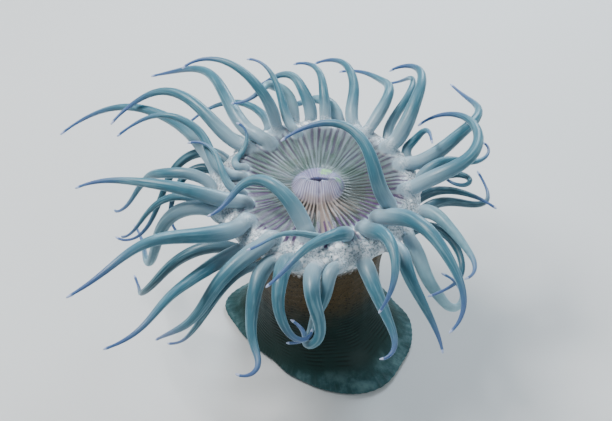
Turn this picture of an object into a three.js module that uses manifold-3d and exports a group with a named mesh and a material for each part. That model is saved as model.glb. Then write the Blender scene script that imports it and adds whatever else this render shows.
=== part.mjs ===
// A sea anemone at life size, open and standing on its own foot.
//
// Millimetres, +Z up. The origin is the middle of the sole, on the floor. The front, the side
// on which the foot spreads furthest, faces -Y.
//
// The soft body is one stack: a flaring foot, a column in two lengths, a warty collar and the
// oral disc with the lips in its middle. The tentacles stand in four close rings on the rim of
// the disc. Each is a tapering arm that follows its own bends, and is trimmed to the body.

import * as THREE from 'three';
import { mergeVertices } from 'three/addons/utils/BufferGeometryUtils.js';
import Module from 'manifold-3d';

const wasm = await Module();
wasm.setup();

// ---- driving dimensions ----------------------------------------------------------------

const GAP = 0.3; // left between pieces that meet
const TRIM_GAP = 0.4; // the same round a trimmed root, measured level, where the wall leans

const FOOT_REACH = 20.5; // sole radius between the lobes
const FOOT_EDGE = 0.9; // height at which the thin edge is widest
const FOOT_FLARE = 4.0; // height over which the flare dies away
const FOOT_TOP = 8.0;
const SOLE_INSET = 0.7; // how far the flat sole ends inside the edge
const FOOT_STEPS = [2.2, 4.4]; // heights at which the curve of the foot is set
const FOOT_LOBES = [
  { at: -56, reach: 7.2, width: 33 },
  { at: -9, reach: 4.0, width: 25 },
  { at: 95, reach: 3.0, width: 35 },
  { at: 165, reach: 4.6, width: 19 },
  { at: -135, reach: -2.5, width: 27 },
];

const COLUMN_RADIUS = 15.4;
const WAIST_HEIGHT = 22.0; // where the two lengths of the column meet
const COLLAR_BASE = { radius: 16.6, height: 35.0 };
const COLLAR_CURVE = 1.25; // above 1, the collar opens more and more towards the rim
const RIM = { radius: 24.4, height: 46.4 }; // widest part of the crown
const RIM_CURVE = [[24.1, 47.8], [23.0, 49.0], [21.4, 49.7]]; // its round top: radius, height
const DISC_HEIGHT = 48.4;
const DISC_CURVE = [[18.6, 49.9], [14.0, 49.1], [7.8, DISC_HEIGHT]]; // shoulder down to the hollow
const LIP_BASE = 5.8;
const LIP_RADIUS = 3.6; // crest of the lips
const LIP_RISE = [[5.3, 49.8], [4.4, 50.9], [LIP_RADIUS, 51.4]]; // seat up to the crest
const LIP_FALL = [[2.5, 50.9], [1.7, 49.9]]; // crest down into the mouth
const MOUTH_FLOOR = 49.3;
const MOUTH_SLIT = 0.4; // the mouth is this much narrower from front to back than from side to side

const BODY_SIDES = 30;
const MOUTH_SIDES = 18;
const COLLAR_STEPS = 4;

const ARM_SIDES = 6;
const ARM_STEPS = 10;
const ARM_BENDS = 28; // short straight lengths that a tentacle's middle line is laid out from
const ARM_TIP_SHARE = 0.1; // tip thickness as a share of the root's
const ARM_TAPER = 1.15;
const ARM_SWELL = 0.25; // a tentacle is this much fuller past its root
const SWELL_END = 0.2; // share of the length at which it is fullest
const ARM_THINNEST = 0.38; // least radius
const ARM_BULB = 0.1; // the tip swells by this much
const BULB_START = 0.96; // share of the length at which that swelling starts

// Rings of the crown that carry the tentacles, from the inner one out and down: where the
// middle of a root lies, and how steeply the skin faces up there.
const RINGS = [
  { radius: 18.0, height: 49.6, slope: 75 },
  { radius: 20.7, height: 49.2, slope: 60 },
  { radius: 23.3, height: 46.6, slope: 10 },
  { radius: 23.0, height: 42.0, slope: -35 },
];
const ROOT_DEPTH = 3.0; // how far an untrimmed root reaches into the body

// One row for each tentacle, round the crown from the right: where it grows (degrees), ring,
// length and root radius (mm), then how it bends, in degrees at even stations from root to
// tip: lifts above the level, and turns away from the straight outward line.
const TENTACLES = [
  [2, 3, 22, 1.2, [35, 5, -5, -10, -15], [35, 15, -10, -25, -40]],
  [6, 2, 28, 1.2, [80, 25, -20, -5, -5], [0, 15, 5, 40, 125]],
  [17, 1, 45, 1.8, [15, 15, -5, -20, 5], [-20, 20, 40, 90, 110]],
  [17, 3, 30, 1.0, [15, 20, 15, 0, -45], [-20, -10, -70, -230, -290]],
  [25, 2, 19, 1.2, [35, 45, 60, 20, -5], [95, 5, -50, -105, -110]],
  [35, 1, 36, 1.9, [40, 35, 10, -20, -30], [-5, 25, 40, 80, 160]],
  [44, 2, 38, 1.2, [20, 15, 0, -45, -25], [45, 15, 30, 75, 115]],
  [56, 1, 39, 1.5, [40, 10, -25, -15, -20], [-10, 10, 45, 75, 115]],
  [67, 2, 32, 1.6, [30, 20, 10, -20, -30], [40, 15, 35, 65, 115]],
  [77, 2, 22, 1.6, [50, 20, -20, -30, -15], [15, 45, 80, 95, 75]],
  [85, 1, 24, 1.4, [50, 35, 15, -10, -25], [0, 10, 15, 45, 90]],
  [94, 2, 26, 1.6, [50, 35, 10, -25, -20], [-15, 20, 30, 95, 100]],
  [104, 2, 31, 1.6, [25, 30, 40, 0, -25], [-10, 10, 135, 130, 45]],
  [106, 0, 25, 1.2, [30, 35, 30, 15, -15], [35, 5, 5, 25, 60]],
  [118, 1, 35, 1.5, [75, 55, 20, -5, -25], [-5, 25, 25, 45, 95]],
  [126, 2, 39, 1.2, [-15, -5, -15, -25, -30], [-70, -15, 15, 60, 100]],
  [131, 0, 53, 1.8, [15, 10, -10, -30, -30], [25, -15, -15, 15, 25]],
  [137, 3, 40, 1.3, [-10, -25, -35, -25, -20], [-20, -45, -30, -25, 0]],
  [145, 1, 44, 1.7, [30, 20, 0, -30, -20], [20, -10, 0, 40, 90]],
  [150, 3, 49, 1.3, [25, -20, -50, -55, -5], [-35, 20, 80, 55, -15]],
  [163, 0, 16, 0.9, [-10, 10, 35, 35, 15], [65, -85, -105, -60, 15]],
  [163, 3, 30, 1.3, [25, 0, -35, -40, -50], [-60, 5, 65, 100, 185]],
  [170, 2, 59, 1.6, [30, 0, -5, -30, -35], [-50, -45, -20, -5, 30]],
  [174, 0, 41, 1.3, [20, 25, 15, -30, -40], [25, -60, -20, -5, 20]],
  [181, 2, 44, 1.4, [45, -5, -50, -60, -30], [-40, -10, -50, 5, -80]],
  [191, 0, 21, 1.0, [45, 30, 20, 5, -10], [25, -65, -80, -50, 5]],
  [192, 2, 34, 1.1, [30, -5, -45, -55, -35], [-20, -25, -15, 0, -85]],
  [201, 2, 62, 1.7, [50, -55, -70, -20, -10], [-25, -30, -70, -100, -85]],
  [203, 0, 42, 1.8, [25, 15, 0, -10, -20], [-10, -30, -35, -35, -10]],
  [218, 1, 53, 2.0, [20, 30, 25, -10, -25], [20, 5, 0, 5, -20]],
  [221, 3, 48, 1.5, [40, -20, -55, -45, 0], [-40, -30, -40, -115, -110]],
  [228, 2, 49, 1.7, [-5, 20, 15, -10, -40], [-20, 10, 10, 5, -70]],
  [238, 3, 38, 1.2, [25, -20, -55, -60, -30], [-45, -15, -30, -85, -90]],
  [240, 1, 46, 1.9, [25, -15, -50, -50, -50], [-5, -20, -25, -90, -95]],
  [247, 2, 35, 1.9, [25, -20, -35, -10, 15], [-25, 5, 20, 35, -90]],
  [257, 2, 33, 2.0, [60, 10, -40, -55, 20], [-25, 0, 15, 90, 185]],
  [263, 0, 34, 1.9, [50, 40, -5, -30, -15], [215, 235, 245, 320, 295]],
  [269, 2, 34, 1.9, [25, -15, -60, -25, 20], [-20, 5, 15, -170, -115]],
  [278, 0, 23, 0.9, [45, 30, 10, 0, -5], [-20, -85, -85, -60, -75]],
  [282, 2, 33, 1.6, [30, -50, -75, -70, -15], [-55, -30, -140, -130, -120]],
  [291, 0, 32, 1.7, [50, 40, 5, -20, -35], [-20, -50, -75, -65, -90]],
  [294, 2, 28, 1.9, [20, -15, -35, -35, -10], [-5, -5, 5, -10, -120]],
  [304, 0, 32, 1.8, [35, 35, -5, -35, -55], [-5, -5, -20, -50, -95]],
  [314, 2, 30, 1.8, [20, -10, -35, -40, -30], [0, -30, -10, -10, -35]],
  [319, 0, 45, 2.0, [45, 30, -15, -35, -35], [-5, -10, -15, -30, -115]],
  [326, 2, 42, 1.7, [5, -35, -60, -10, 10], [-20, -30, 50, 110, 195]],
  [334, 0, 43, 1.8, [55, 65, 20, -10, -20], [-35, -200, -210, -155, -120]],
  [335, 3, 34, 1.2, [25, 5, -15, 10, -10], [65, -15, -50, -100, -140]],
  [343, 2, 28, 1.6, [35, 5, -10, -10, 5], [10, -35, -40, -55, -140]],
  [348, 3, 37, 1.3, [20, -20, -25, -15, 40], [60, 50, 30, 90, 145]],
  [353, 1, 48, 1.8, [45, 20, 0, -20, -35], [0, 25, 90, 140, 210]],
];

// ---- colours ---------------------------------------------------------------------------

const FLESH = {
  foot: [0x4f7478, 0.62],
  column: [0x5e5a48, 0.6],
  collar: [0xb9bcc4, 0.55],
  disc: [0x869a95, 0.5],
  lips: [0xbdb6c2, 0.45],
  arm: [0x7fa8b8, 0.4],
};

/** A plain skin colour with its roughness. */
function skin([color, roughness]) {
  return new THREE.MeshStandardMaterial({ color, roughness, metalness: 0 });
}

// ---- shape of the body -----------------------------------------------------------------

const radians = THREE.MathUtils.degToRad;

/** How far the sole reaches in one direction, with its lobes. */
function footReach(angle) {
  let reach = FOOT_REACH;
  for (const lobe of FOOT_LOBES) {
    const turn = angle - radians(lobe.at);
    const away = THREE.MathUtils.radToDeg(Math.atan2(Math.sin(turn), Math.cos(turn)));
    reach += lobe.reach * Math.exp(-((away / lobe.width) ** 2));
  }
  return reach;
}

/** Share of the foot's spread that is left at a height. */
function flare(height) {
  return Math.exp(-Math.max(0, height - FOOT_EDGE) / FOOT_FLARE);
}

/** Radius of the round body without its lobes, from the sole to the rim. */
function bodyRadius(height) {
  const spread = (FOOT_REACH - COLUMN_RADIUS) * flare(height);
  const rise = Math.max(0, height - COLLAR_BASE.height) / (RIM.height - COLLAR_BASE.height);
  const lean = THREE.MathUtils.smoothstep(height, WAIST_HEIGHT, COLLAR_BASE.height);
  const collar = (COLLAR_BASE.radius - COLUMN_RADIUS) * lean;
  return COLUMN_RADIUS + spread + collar + (RIM.radius - COLLAR_BASE.radius) * rise ** COLLAR_CURVE;
}

/** A solid of revolution about Z from [radius, height] pairs that start and end on the axis. */
function turned(profile, sides) {
  const points = profile.map(([radius, height]) => new THREE.Vector2(radius, height));
  const geometry = new THREE.LatheGeometry(points, sides);
  geometry.rotateX(Math.PI / 2);
  geometry.deleteAttribute('normal');
  geometry.deleteAttribute('uv');
  return mergeVertices(geometry, 1e-4);
}

/** Pushes a turned solid out to the lobes of the foot. */
function lobed(geometry) {
  const points = geometry.attributes.position;
  for (let i = 0; i < points.count; i += 1) {
    const angle = Math.atan2(points.getY(i), points.getX(i));
    const height = points.getZ(i);
    const plain = Math.hypot(points.getX(i), points.getY(i));
    const share = plain / bodyRadius(height);
    const extra = (footReach(angle) - FOOT_REACH) * flare(height) * Math.min(1, share);
    if (plain > 0) {
      points.setX(i, points.getX(i) * (1 + extra / plain));
      points.setY(i, points.getY(i) * (1 + extra / plain));
    }
  }
  return geometry;
}

/** The outer profile of the body between two heights, in even steps. */
function wall(low, high, steps) {
  const pairs = [];
  for (let i = 0; i <= steps; i += 1) {
    const height = low + ((high - low) * i) / steps;
    pairs.push([bodyRadius(height), height]);
  }
  return pairs;
}

/** A level slice of the body, closed on the axis above and below. */
function slice(low, high, steps) {
  return lobed(turned([[0, low], ...wall(low, high, steps), [0, high]], BODY_SIDES));
}

/** The foot: a flat sole, a thin edge and the flare up to the column. */
function foot() {
  const sole = [[0, 0], [FOOT_REACH - SOLE_INSET, 0], [FOOT_REACH, FOOT_EDGE]];
  const climb = FOOT_STEPS.map((height) => [bodyRadius(height), height]);
  return lobed(turned([...sole, ...climb, [bodyRadius(FOOT_TOP), FOOT_TOP], [0, FOOT_TOP]], BODY_SIDES));
}

/** Top of the disc from the rim in to the seat of the lips, grown outward by a clearance. */
function discTop(lift) {
  const steps = RIM_CURVE.length - 1;
  const rim = RIM_CURVE.map(([radius, height], i) => [
    radius + lift * (1 - i / steps),
    height + lift * Math.min(1, (i + 1) / steps),
  ]);
  return [...rim, ...DISC_CURVE.map(([radius, height]) => [radius, height + lift])];
}

/** The oral disc: a low shoulder that falls to the hollow round the mouth. */
function oralDisc() {
  const base = RIM.height + GAP;
  return turned([[0, base], [RIM.radius, base], ...discTop(0), [0, DISC_HEIGHT]], BODY_SIDES);
}

/** Narrows the middle of the lips from front to back, so that the mouth is a slit. */
function narrowed(geometry) {
  const points = geometry.attributes.position;
  for (let i = 0; i < points.count; i += 1) {
    const plain = Math.hypot(points.getX(i), points.getY(i));
    const outside = THREE.MathUtils.smoothstep(plain, LIP_RADIUS, LIP_BASE);
    points.setY(i, points.getY(i) * THREE.MathUtils.lerp(MOUTH_SLIT, 1, outside));
  }
  return geometry;
}

/** The lips: a soft raised ring with the mouth sunk in its middle. */
function lips() {
  const base = DISC_HEIGHT + GAP;
  const ring = [[LIP_BASE, base], ...LIP_RISE, ...LIP_FALL];
  return narrowed(turned([[0, base], ...ring, [0, MOUTH_FLOOR]], MOUTH_SIDES));
}

// ---- tentacles -------------------------------------------------------------------------

/** Smooth value between even stations (Catmull-Rom, straight at both ends). */
function along(stations, share) {
  const last = stations.length - 1;
  const place = THREE.MathUtils.clamp(share, 0, 1) * last;
  const at = Math.min(Math.floor(place), last - 1);
  const before = at > 0 ? stations[at - 1] : 2 * stations[0] - stations[1];
  const after = at + 2 <= last ? stations[at + 2] : 2 * stations[last] - stations[last - 1];
  const [a, b] = [stations[at], stations[at + 1]];
  const f = place - at;
  const bend = (2 * before - 5 * a + 4 * b - after) * f * f + (3 * a - before - 3 * b + after) * f ** 3;
  return 0.5 * (2 * a + (b - before) * f + bend);
}

/** The middle line of a tentacle from its place on the crown to its tip. */
function armPath(growth, ring, length, lifts, turns) {
  const { radius, height, slope } = RINGS[ring];
  const out = radians(growth);
  const root = new THREE.Vector3(radius * Math.cos(out), radius * Math.sin(out), height);
  const inward = new THREE.Vector3(Math.cos(out), Math.sin(out), Math.tan(radians(slope)));
  const points = [root.clone().addScaledVector(inward.normalize(), -ROOT_DEPTH), root];
  const here = root.clone();
  for (let i = 0; i < ARM_BENDS; i += 1) {
    const share = (i + 0.5) / ARM_BENDS;
    const lift = radians(along(lifts, share));
    const heading = out + radians(along(turns, share));
    const level = Math.cos(lift);
    const ahead = new THREE.Vector3(level * Math.cos(heading), level * Math.sin(heading), Math.sin(lift));
    here.addScaledVector(ahead, length / ARM_BENDS);
    points.push(here.clone());
  }
  return new THREE.CatmullRomCurve3(points, false, 'centripetal');
}

/** Thickness of a tentacle at a share of its length, full past the root and swollen at the tip. */
function armRadius(girth, share) {
  const taper = 1 - (1 - ARM_TIP_SHARE) * THREE.MathUtils.clamp(share, 0, 1) ** ARM_TAPER;
  const swell = 1 + ARM_SWELL * THREE.MathUtils.smoothstep(share, 0, SWELL_END);
  const bulb = share > BULB_START ? ARM_BULB : 0;
  return Math.max(ARM_THINNEST, girth * taper * swell) + bulb;
}

/** A closed six-sided arm, bent from an upright cylinder onto its path. */
function armGeometry(girth, path) {
  const geometry = new THREE.CylinderGeometry(1, 1, 1, ARM_SIDES, ARM_STEPS);
  const frames = path.computeFrenetFrames(ARM_STEPS, false);
  const buried = ROOT_DEPTH / path.getLength();
  const points = geometry.attributes.position;
  for (let i = 0; i < points.count; i += 1) {
    const share = points.getY(i) + 0.5;
    const step = Math.round(share * ARM_STEPS);
    const radius = armRadius(girth, (share - buried) / (1 - buried));
    const spot = path.getPointAt(share);
    spot.addScaledVector(frames.normals[step], points.getX(i) * radius);
    spot.addScaledVector(frames.binormals[step], -points.getZ(i) * radius);
    points.setXYZ(i, spot.x, spot.y, spot.z);
  }
  geometry.deleteAttribute('normal');
  geometry.deleteAttribute('uv');
  return mergeVertices(geometry, 1e-4);
}

// ---- cutting ---------------------------------------------------------------------------

/** A closed three.js geometry as a solid that can be joined and cut. */
function solidOf(geometry) {
  const vertProperties = new Float32Array(geometry.attributes.position.array);
  const triVerts = new Uint32Array(geometry.index.array);
  return new wasm.Manifold(new wasm.Mesh({ numProp: 3, vertProperties, triVerts }));
}

/** The largest piece of a solid as a three.js geometry. */
function geometryOf(solid) {
  const pieces = solid.decompose().sort((a, b) => b.volume() - a.volume());
  const mesh = pieces[0].getMesh();
  const geometry = new THREE.BufferGeometry();
  geometry.setAttribute('position', new THREE.BufferAttribute(mesh.vertProperties.slice(), 3));
  geometry.setIndex(new THREE.BufferAttribute(mesh.triVerts.slice(), 1));
  return geometry;
}

/** The whole crown, grown by the gap, that trims the roots of the tentacles. */
function crownCutter() {
  const low = COLLAR_BASE.height + GAP;
  const grown = wall(low, RIM.height, COLLAR_STEPS).map(([radius, height]) => [radius + TRIM_GAP, height]);
  const top = [...discTop(TRIM_GAP), [0, DISC_HEIGHT + TRIM_GAP]];
  return solidOf(turned([[0, low], ...grown, ...top], BODY_SIDES));
}

// ---- assembly --------------------------------------------------------------------------

const anemone = new THREE.Group();

/** Adds one named piece. */
function add(name, geometry, finish) {
  const mesh = new THREE.Mesh(geometry, skin(finish));
  mesh.name = name;
  anemone.add(mesh);
}

add('foot', foot(), FLESH.foot);
add('column_lower', slice(FOOT_TOP + GAP, WAIST_HEIGHT, 2), FLESH.column);
add('column_upper', slice(WAIST_HEIGHT + GAP, COLLAR_BASE.height, 2), FLESH.column);
add('collar', slice(COLLAR_BASE.height + GAP, RIM.height, COLLAR_STEPS), FLESH.collar);
add('oral_disc', oralDisc(), FLESH.disc);
add('mouth', lips(), FLESH.lips);

const cutter = crownCutter();
TENTACLES.forEach(([growth, ring, length, girth, lifts, turns], index) => {
  const path = armPath(growth, ring, length, lifts, turns);
  const arm = solidOf(armGeometry(girth, path)).subtract(cutter);
  add(`tentacle_${String(index + 1).padStart(2, '0')}`, geometryOf(arm), FLESH.arm);
});

export default anemone;
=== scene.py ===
"""A sea anemone at life size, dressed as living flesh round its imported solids.

One continuous skin covers the foot, the column, the collar, the oral disc, the lips and every
tentacle. The body of the skin is a surface of revolution with lobes and fine relief. Its crown
is a triangulated band with a round opening for each tentacle, and each tentacle grows out of
its opening through a soft fillet, so that no seam shows.

Shapes are worked out in millimetres and become metres when a mesh is made. +Z is up and the
front of the animal faces -Y.
"""
import logging
import math
from dataclasses import dataclass, field
from enum import Enum

import bpy
import numpy as np
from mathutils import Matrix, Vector
from mathutils.geometry import delaunay_2d_cdt


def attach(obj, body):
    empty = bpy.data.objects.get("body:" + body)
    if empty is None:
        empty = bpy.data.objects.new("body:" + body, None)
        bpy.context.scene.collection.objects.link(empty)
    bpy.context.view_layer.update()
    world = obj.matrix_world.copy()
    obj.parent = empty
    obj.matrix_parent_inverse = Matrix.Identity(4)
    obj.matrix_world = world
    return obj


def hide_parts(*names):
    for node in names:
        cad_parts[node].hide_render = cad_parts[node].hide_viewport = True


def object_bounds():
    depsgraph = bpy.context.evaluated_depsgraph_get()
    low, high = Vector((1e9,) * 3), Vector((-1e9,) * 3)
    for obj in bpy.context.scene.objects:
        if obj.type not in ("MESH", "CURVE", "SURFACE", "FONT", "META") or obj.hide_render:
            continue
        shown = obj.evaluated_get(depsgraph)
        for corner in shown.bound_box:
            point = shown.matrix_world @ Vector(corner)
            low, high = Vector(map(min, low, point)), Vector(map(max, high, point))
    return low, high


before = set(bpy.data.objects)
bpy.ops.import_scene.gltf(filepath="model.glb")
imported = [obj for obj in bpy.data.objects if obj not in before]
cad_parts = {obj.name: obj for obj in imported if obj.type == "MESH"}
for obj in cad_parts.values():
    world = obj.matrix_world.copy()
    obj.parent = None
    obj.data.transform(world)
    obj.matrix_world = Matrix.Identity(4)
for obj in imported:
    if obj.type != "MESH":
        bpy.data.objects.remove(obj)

CAD_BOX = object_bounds()
MM = 0.001
ROOT_BODY = "root"
SEED = 11

log = logging.getLogger("anemone")


# ---- forms ------------------------------------------------------------------------------


@dataclass(frozen=True)
class Lobe:
    """One lobe of the foot: its direction and width in degrees, its reach in millimetres."""

    at: float
    reach: float
    width: float


@dataclass(frozen=True)
class Ring:
    """One ring of tentacle roots: radius and height in millimetres, slope in degrees."""

    radius: float
    height: float
    slope: float


@dataclass(frozen=True)
class ArmPose:
    """How one tentacle grows and bends.

    Angles are in degrees and sizes in millimetres. Lifts above the level and turns away from
    the straight outward line are given at even stations from root to tip.
    """

    growth: float
    ring: int
    length: float
    girth: float
    lifts: tuple
    turns: tuple
    # Tone partly stands for painted shade: the tentacles that lie in shadow, most of the lowest ring, get
    # low tones and are painted darker.
    tone: float = 0.5


RINGS = (
    Ring(18.0, 49.6, 75.0),
    Ring(20.7, 49.2, 60.0),
    Ring(23.3, 46.6, 10.0),
    Ring(23.0, 42.0, -35.0),
)

FOOT_LOBES = (
    Lobe(-56.0, 7.2, 33.0),
    Lobe(-9.0, 4.0, 25.0),
    Lobe(95.0, 3.0, 35.0),
    Lobe(165.0, 4.6, 19.0),
    Lobe(-135.0, -2.5, 27.0),
)

ARM_POSES = (
    ArmPose(2.0, 3, 22.0, 1.2, (35, 5, -5, -10, -15), (35, 15, -10, -25, -40), 0.15),
    ArmPose(6.0, 2, 28.0, 1.2, (80, 25, -20, -5, -5), (0, 15, 5, 40, 125)),
    ArmPose(17.0, 1, 45.0, 1.8, (15, 15, -5, -20, 5), (-20, 20, 40, 90, 110)),
    ArmPose(17.0, 3, 30.0, 1.0, (15, 20, 15, 0, -45), (-20, -10, -70, -230, -290), 0.2),
    ArmPose(25.0, 2, 19.0, 1.2, (35, 45, 60, 20, -5), (95, 5, -50, -105, -110)),
    ArmPose(35.0, 1, 36.0, 1.9, (40, 35, 10, -20, -30), (-5, 25, 40, 80, 160)),
    ArmPose(44.0, 2, 38.0, 1.2, (20, 15, 0, -45, -25), (45, 15, 30, 75, 115), 0.35),
    ArmPose(56.0, 1, 39.0, 1.5, (40, 10, -25, -15, -20), (-10, 10, 45, 75, 115)),
    ArmPose(67.0, 2, 32.0, 1.6, (30, 20, 10, -20, -30), (40, 15, 35, 65, 115)),
    ArmPose(77.0, 2, 22.0, 1.6, (50, 20, -20, -30, -15), (15, 45, 80, 95, 75), 0.8),
    ArmPose(85.0, 1, 24.0, 1.4, (50, 35, 15, -10, -25), (0, 10, 15, 45, 90)),
    ArmPose(94.0, 2, 26.0, 1.6, (50, 35, 10, -25, -20), (-15, 20, 30, 95, 100)),
    ArmPose(104.0, 2, 31.0, 1.6, (25, 30, 40, 0, -25), (-10, 10, 135, 130, 45), 0.85),
    ArmPose(106.0, 0, 25.0, 1.2, (30, 35, 30, 15, -15), (35, 5, 5, 25, 60)),
    ArmPose(118.0, 1, 35.0, 1.5, (75, 55, 20, -5, -25), (-5, 25, 25, 45, 95)),
    ArmPose(126.0, 2, 39.0, 1.2, (-15, -5, -15, -25, -30), (-70, -15, 15, 60, 100), 0.4),
    ArmPose(131.0, 0, 53.0, 1.8, (15, 10, -10, -30, -30), (25, -15, -15, 15, 25)),
    ArmPose(137.0, 3, 40.0, 1.3, (-10, -25, -35, -25, -20), (-20, -45, -30, -25, 0), 0.25),
    ArmPose(145.0, 1, 44.0, 1.7, (30, 20, 0, -30, -20), (20, -10, 0, 40, 90)),
    ArmPose(150.0, 3, 49.0, 1.3, (25, -20, -50, -55, -5), (-35, 20, 80, 55, -15), 0.2),
    ArmPose(163.0, 0, 16.0, 0.9, (-10, 10, 35, 35, 15), (65, -85, -105, -60, 15), 0.65),
    ArmPose(163.0, 3, 30.0, 1.3, (25, 0, -35, -40, -50), (-60, 5, 65, 100, 185), 0.15),
    ArmPose(170.0, 2, 59.0, 1.6, (30, 0, -5, -30, -35), (-50, -45, -20, -5, 30)),
    ArmPose(174.0, 0, 41.0, 1.3, (20, 25, 15, -30, -40), (25, -60, -20, -5, 20)),
    ArmPose(181.0, 2, 44.0, 1.4, (45, -5, -50, -60, -30), (-40, -10, -50, 5, -80)),
    ArmPose(191.0, 0, 21.0, 1.0, (45, 30, 20, 5, -10), (25, -65, -80, -50, 5), 0.6),
    ArmPose(192.0, 2, 34.0, 1.1, (30, -5, -45, -55, -35), (-20, -25, -15, 0, -85), 0.35),
    ArmPose(201.0, 2, 62.0, 1.7, (50, -55, -70, -20, -10), (-25, -30, -70, -100, -85)),
    ArmPose(203.0, 0, 42.0, 1.8, (25, 15, 0, -10, -20), (-10, -30, -35, -35, -10)),
    ArmPose(218.0, 1, 53.0, 2.0, (20, 30, 25, -10, -25), (20, 5, 0, 5, -20)),
    ArmPose(221.0, 3, 48.0, 1.5, (40, -20, -55, -45, 0), (-40, -30, -40, -115, -110), 0.15),
    ArmPose(228.0, 2, 49.0, 1.7, (-5, 20, 15, -10, -40), (-20, 10, 10, 5, -70)),
    ArmPose(238.0, 3, 38.0, 1.2, (25, -20, -55, -60, -30), (-45, -15, -30, -85, -90), 0.2),
    ArmPose(240.0, 1, 46.0, 1.9, (25, -15, -50, -50, -50), (-5, -20, -25, -90, -95)),
    ArmPose(247.0, 2, 35.0, 1.9, (25, -20, -35, -10, 15), (-25, 5, 20, 35, -90), 0.35),
    ArmPose(257.0, 2, 33.0, 2.0, (60, 10, -40, -55, 20), (-25, 0, 15, 90, 185), 0.4),
    ArmPose(263.0, 0, 34.0, 1.9, (50, 40, -5, -30, -15), (215, 235, 245, 320, 295), 0.6),
    ArmPose(269.0, 2, 34.0, 1.9, (25, -15, -60, -25, 20), (-20, 5, 15, -170, -115)),
    ArmPose(278.0, 0, 23.0, 0.9, (45, 30, 10, 0, -5), (-20, -85, -85, -60, -75), 0.7),
    ArmPose(282.0, 2, 33.0, 1.6, (30, -50, -75, -70, -15), (-55, -30, -140, -130, -120), 0.4),
    ArmPose(291.0, 0, 32.0, 1.7, (50, 40, 5, -20, -35), (-20, -50, -75, -65, -90)),
    ArmPose(294.0, 2, 28.0, 1.9, (20, -15, -35, -35, -10), (-5, -5, 5, -10, -120)),
    ArmPose(304.0, 0, 32.0, 1.8, (35, 35, -5, -35, -55), (-5, -5, -20, -50, -95)),
    ArmPose(314.0, 2, 30.0, 1.8, (20, -10, -35, -40, -30), (0, -30, -10, -10, -35)),
    ArmPose(319.0, 0, 45.0, 2.0, (45, 30, -15, -35, -35), (-5, -10, -15, -30, -115)),
    ArmPose(326.0, 2, 42.0, 1.7, (5, -35, -60, -10, 10), (-20, -30, 50, 110, 195), 0.9),
    ArmPose(334.0, 0, 43.0, 1.8, (55, 65, 20, -10, -20), (-35, -200, -210, -155, -120)),
    ArmPose(335.0, 3, 34.0, 1.2, (25, 5, -15, 10, -10), (65, -15, -50, -100, -140), 0.15),
    ArmPose(343.0, 2, 28.0, 1.6, (35, 5, -10, -10, 5), (10, -35, -40, -55, -140), 0.8),
    ArmPose(348.0, 3, 37.0, 1.3, (20, -20, -25, -15, 40), (60, 50, 30, 90, 145), 0.15),
    ArmPose(353.0, 1, 48.0, 1.8, (45, 20, 0, -20, -35), (0, 25, 90, 140, 210)),
)


TIP_TURNS = (0.45, 0.85, 1.2)
TIP_RISES = (0.4, 0.7, 0.9)


def smooth_step(value: np.ndarray, low: float, high: float) -> np.ndarray:
    """Eases from 0 at low to 1 at high.

    Args:
        value: numbers to ease.
        low: where the rise starts.
        high: where the rise ends.

    Returns:
        The eased numbers, between 0 and 1.
    """
    share = np.clip((np.asarray(value, float) - low) / (high - low), 0.0, 1.0)
    return share * share * (3.0 - 2.0 * share)


def through(stations: tuple, share: np.ndarray) -> np.ndarray:
    """Reads a smooth curve through even stations.

    Args:
        stations: values at even stations from 0 to 1.
        share: where to read, from 0 to 1.

    Returns:
        The value at each share.
    """
    known = np.asarray(stations, float)
    padded = np.concatenate([[2 * known[0] - known[1]], known, [2 * known[-1] - known[-2]]])
    place = np.clip(share, 0.0, 1.0) * (len(known) - 1)
    at = np.minimum(place.astype(int), len(known) - 2)
    f = place - at
    before, a, b, after = (padded[at + i] for i in range(4))
    bend = (2 * before - 5 * a + 4 * b - after) * f**2 + (3 * a - before - 3 * b + after) * f**3
    return 0.5 * (2 * a + (b - before) * f + bend)


def turned(angle: np.ndarray, start: float) -> np.ndarray:
    """Degrees from a starting direction, itself in degrees, the shorter way round."""
    return np.degrees(np.angle(np.exp(1j * (angle - math.radians(start)))))


def eased(values: np.ndarray, reach: float) -> np.ndarray:
    """Softens a run of values with a bell of the given reach, in samples, and keeps its ends.

    Args:
        values: the values to soften.
        reach: how wide the bell is, in samples.

    Returns:
        The softened values.
    """
    wide = max(1, int(3 * reach))
    bell = np.exp(-0.5 * (np.arange(-wide, wide + 1) / reach) ** 2)
    bell /= bell.sum()
    ends = np.concatenate([
        2 * values[0] - values[wide:0:-1],
        values,
        2 * values[-1] - values[-2:-wide - 2:-1],
    ])
    return np.convolve(ends, bell, "valid")


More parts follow.
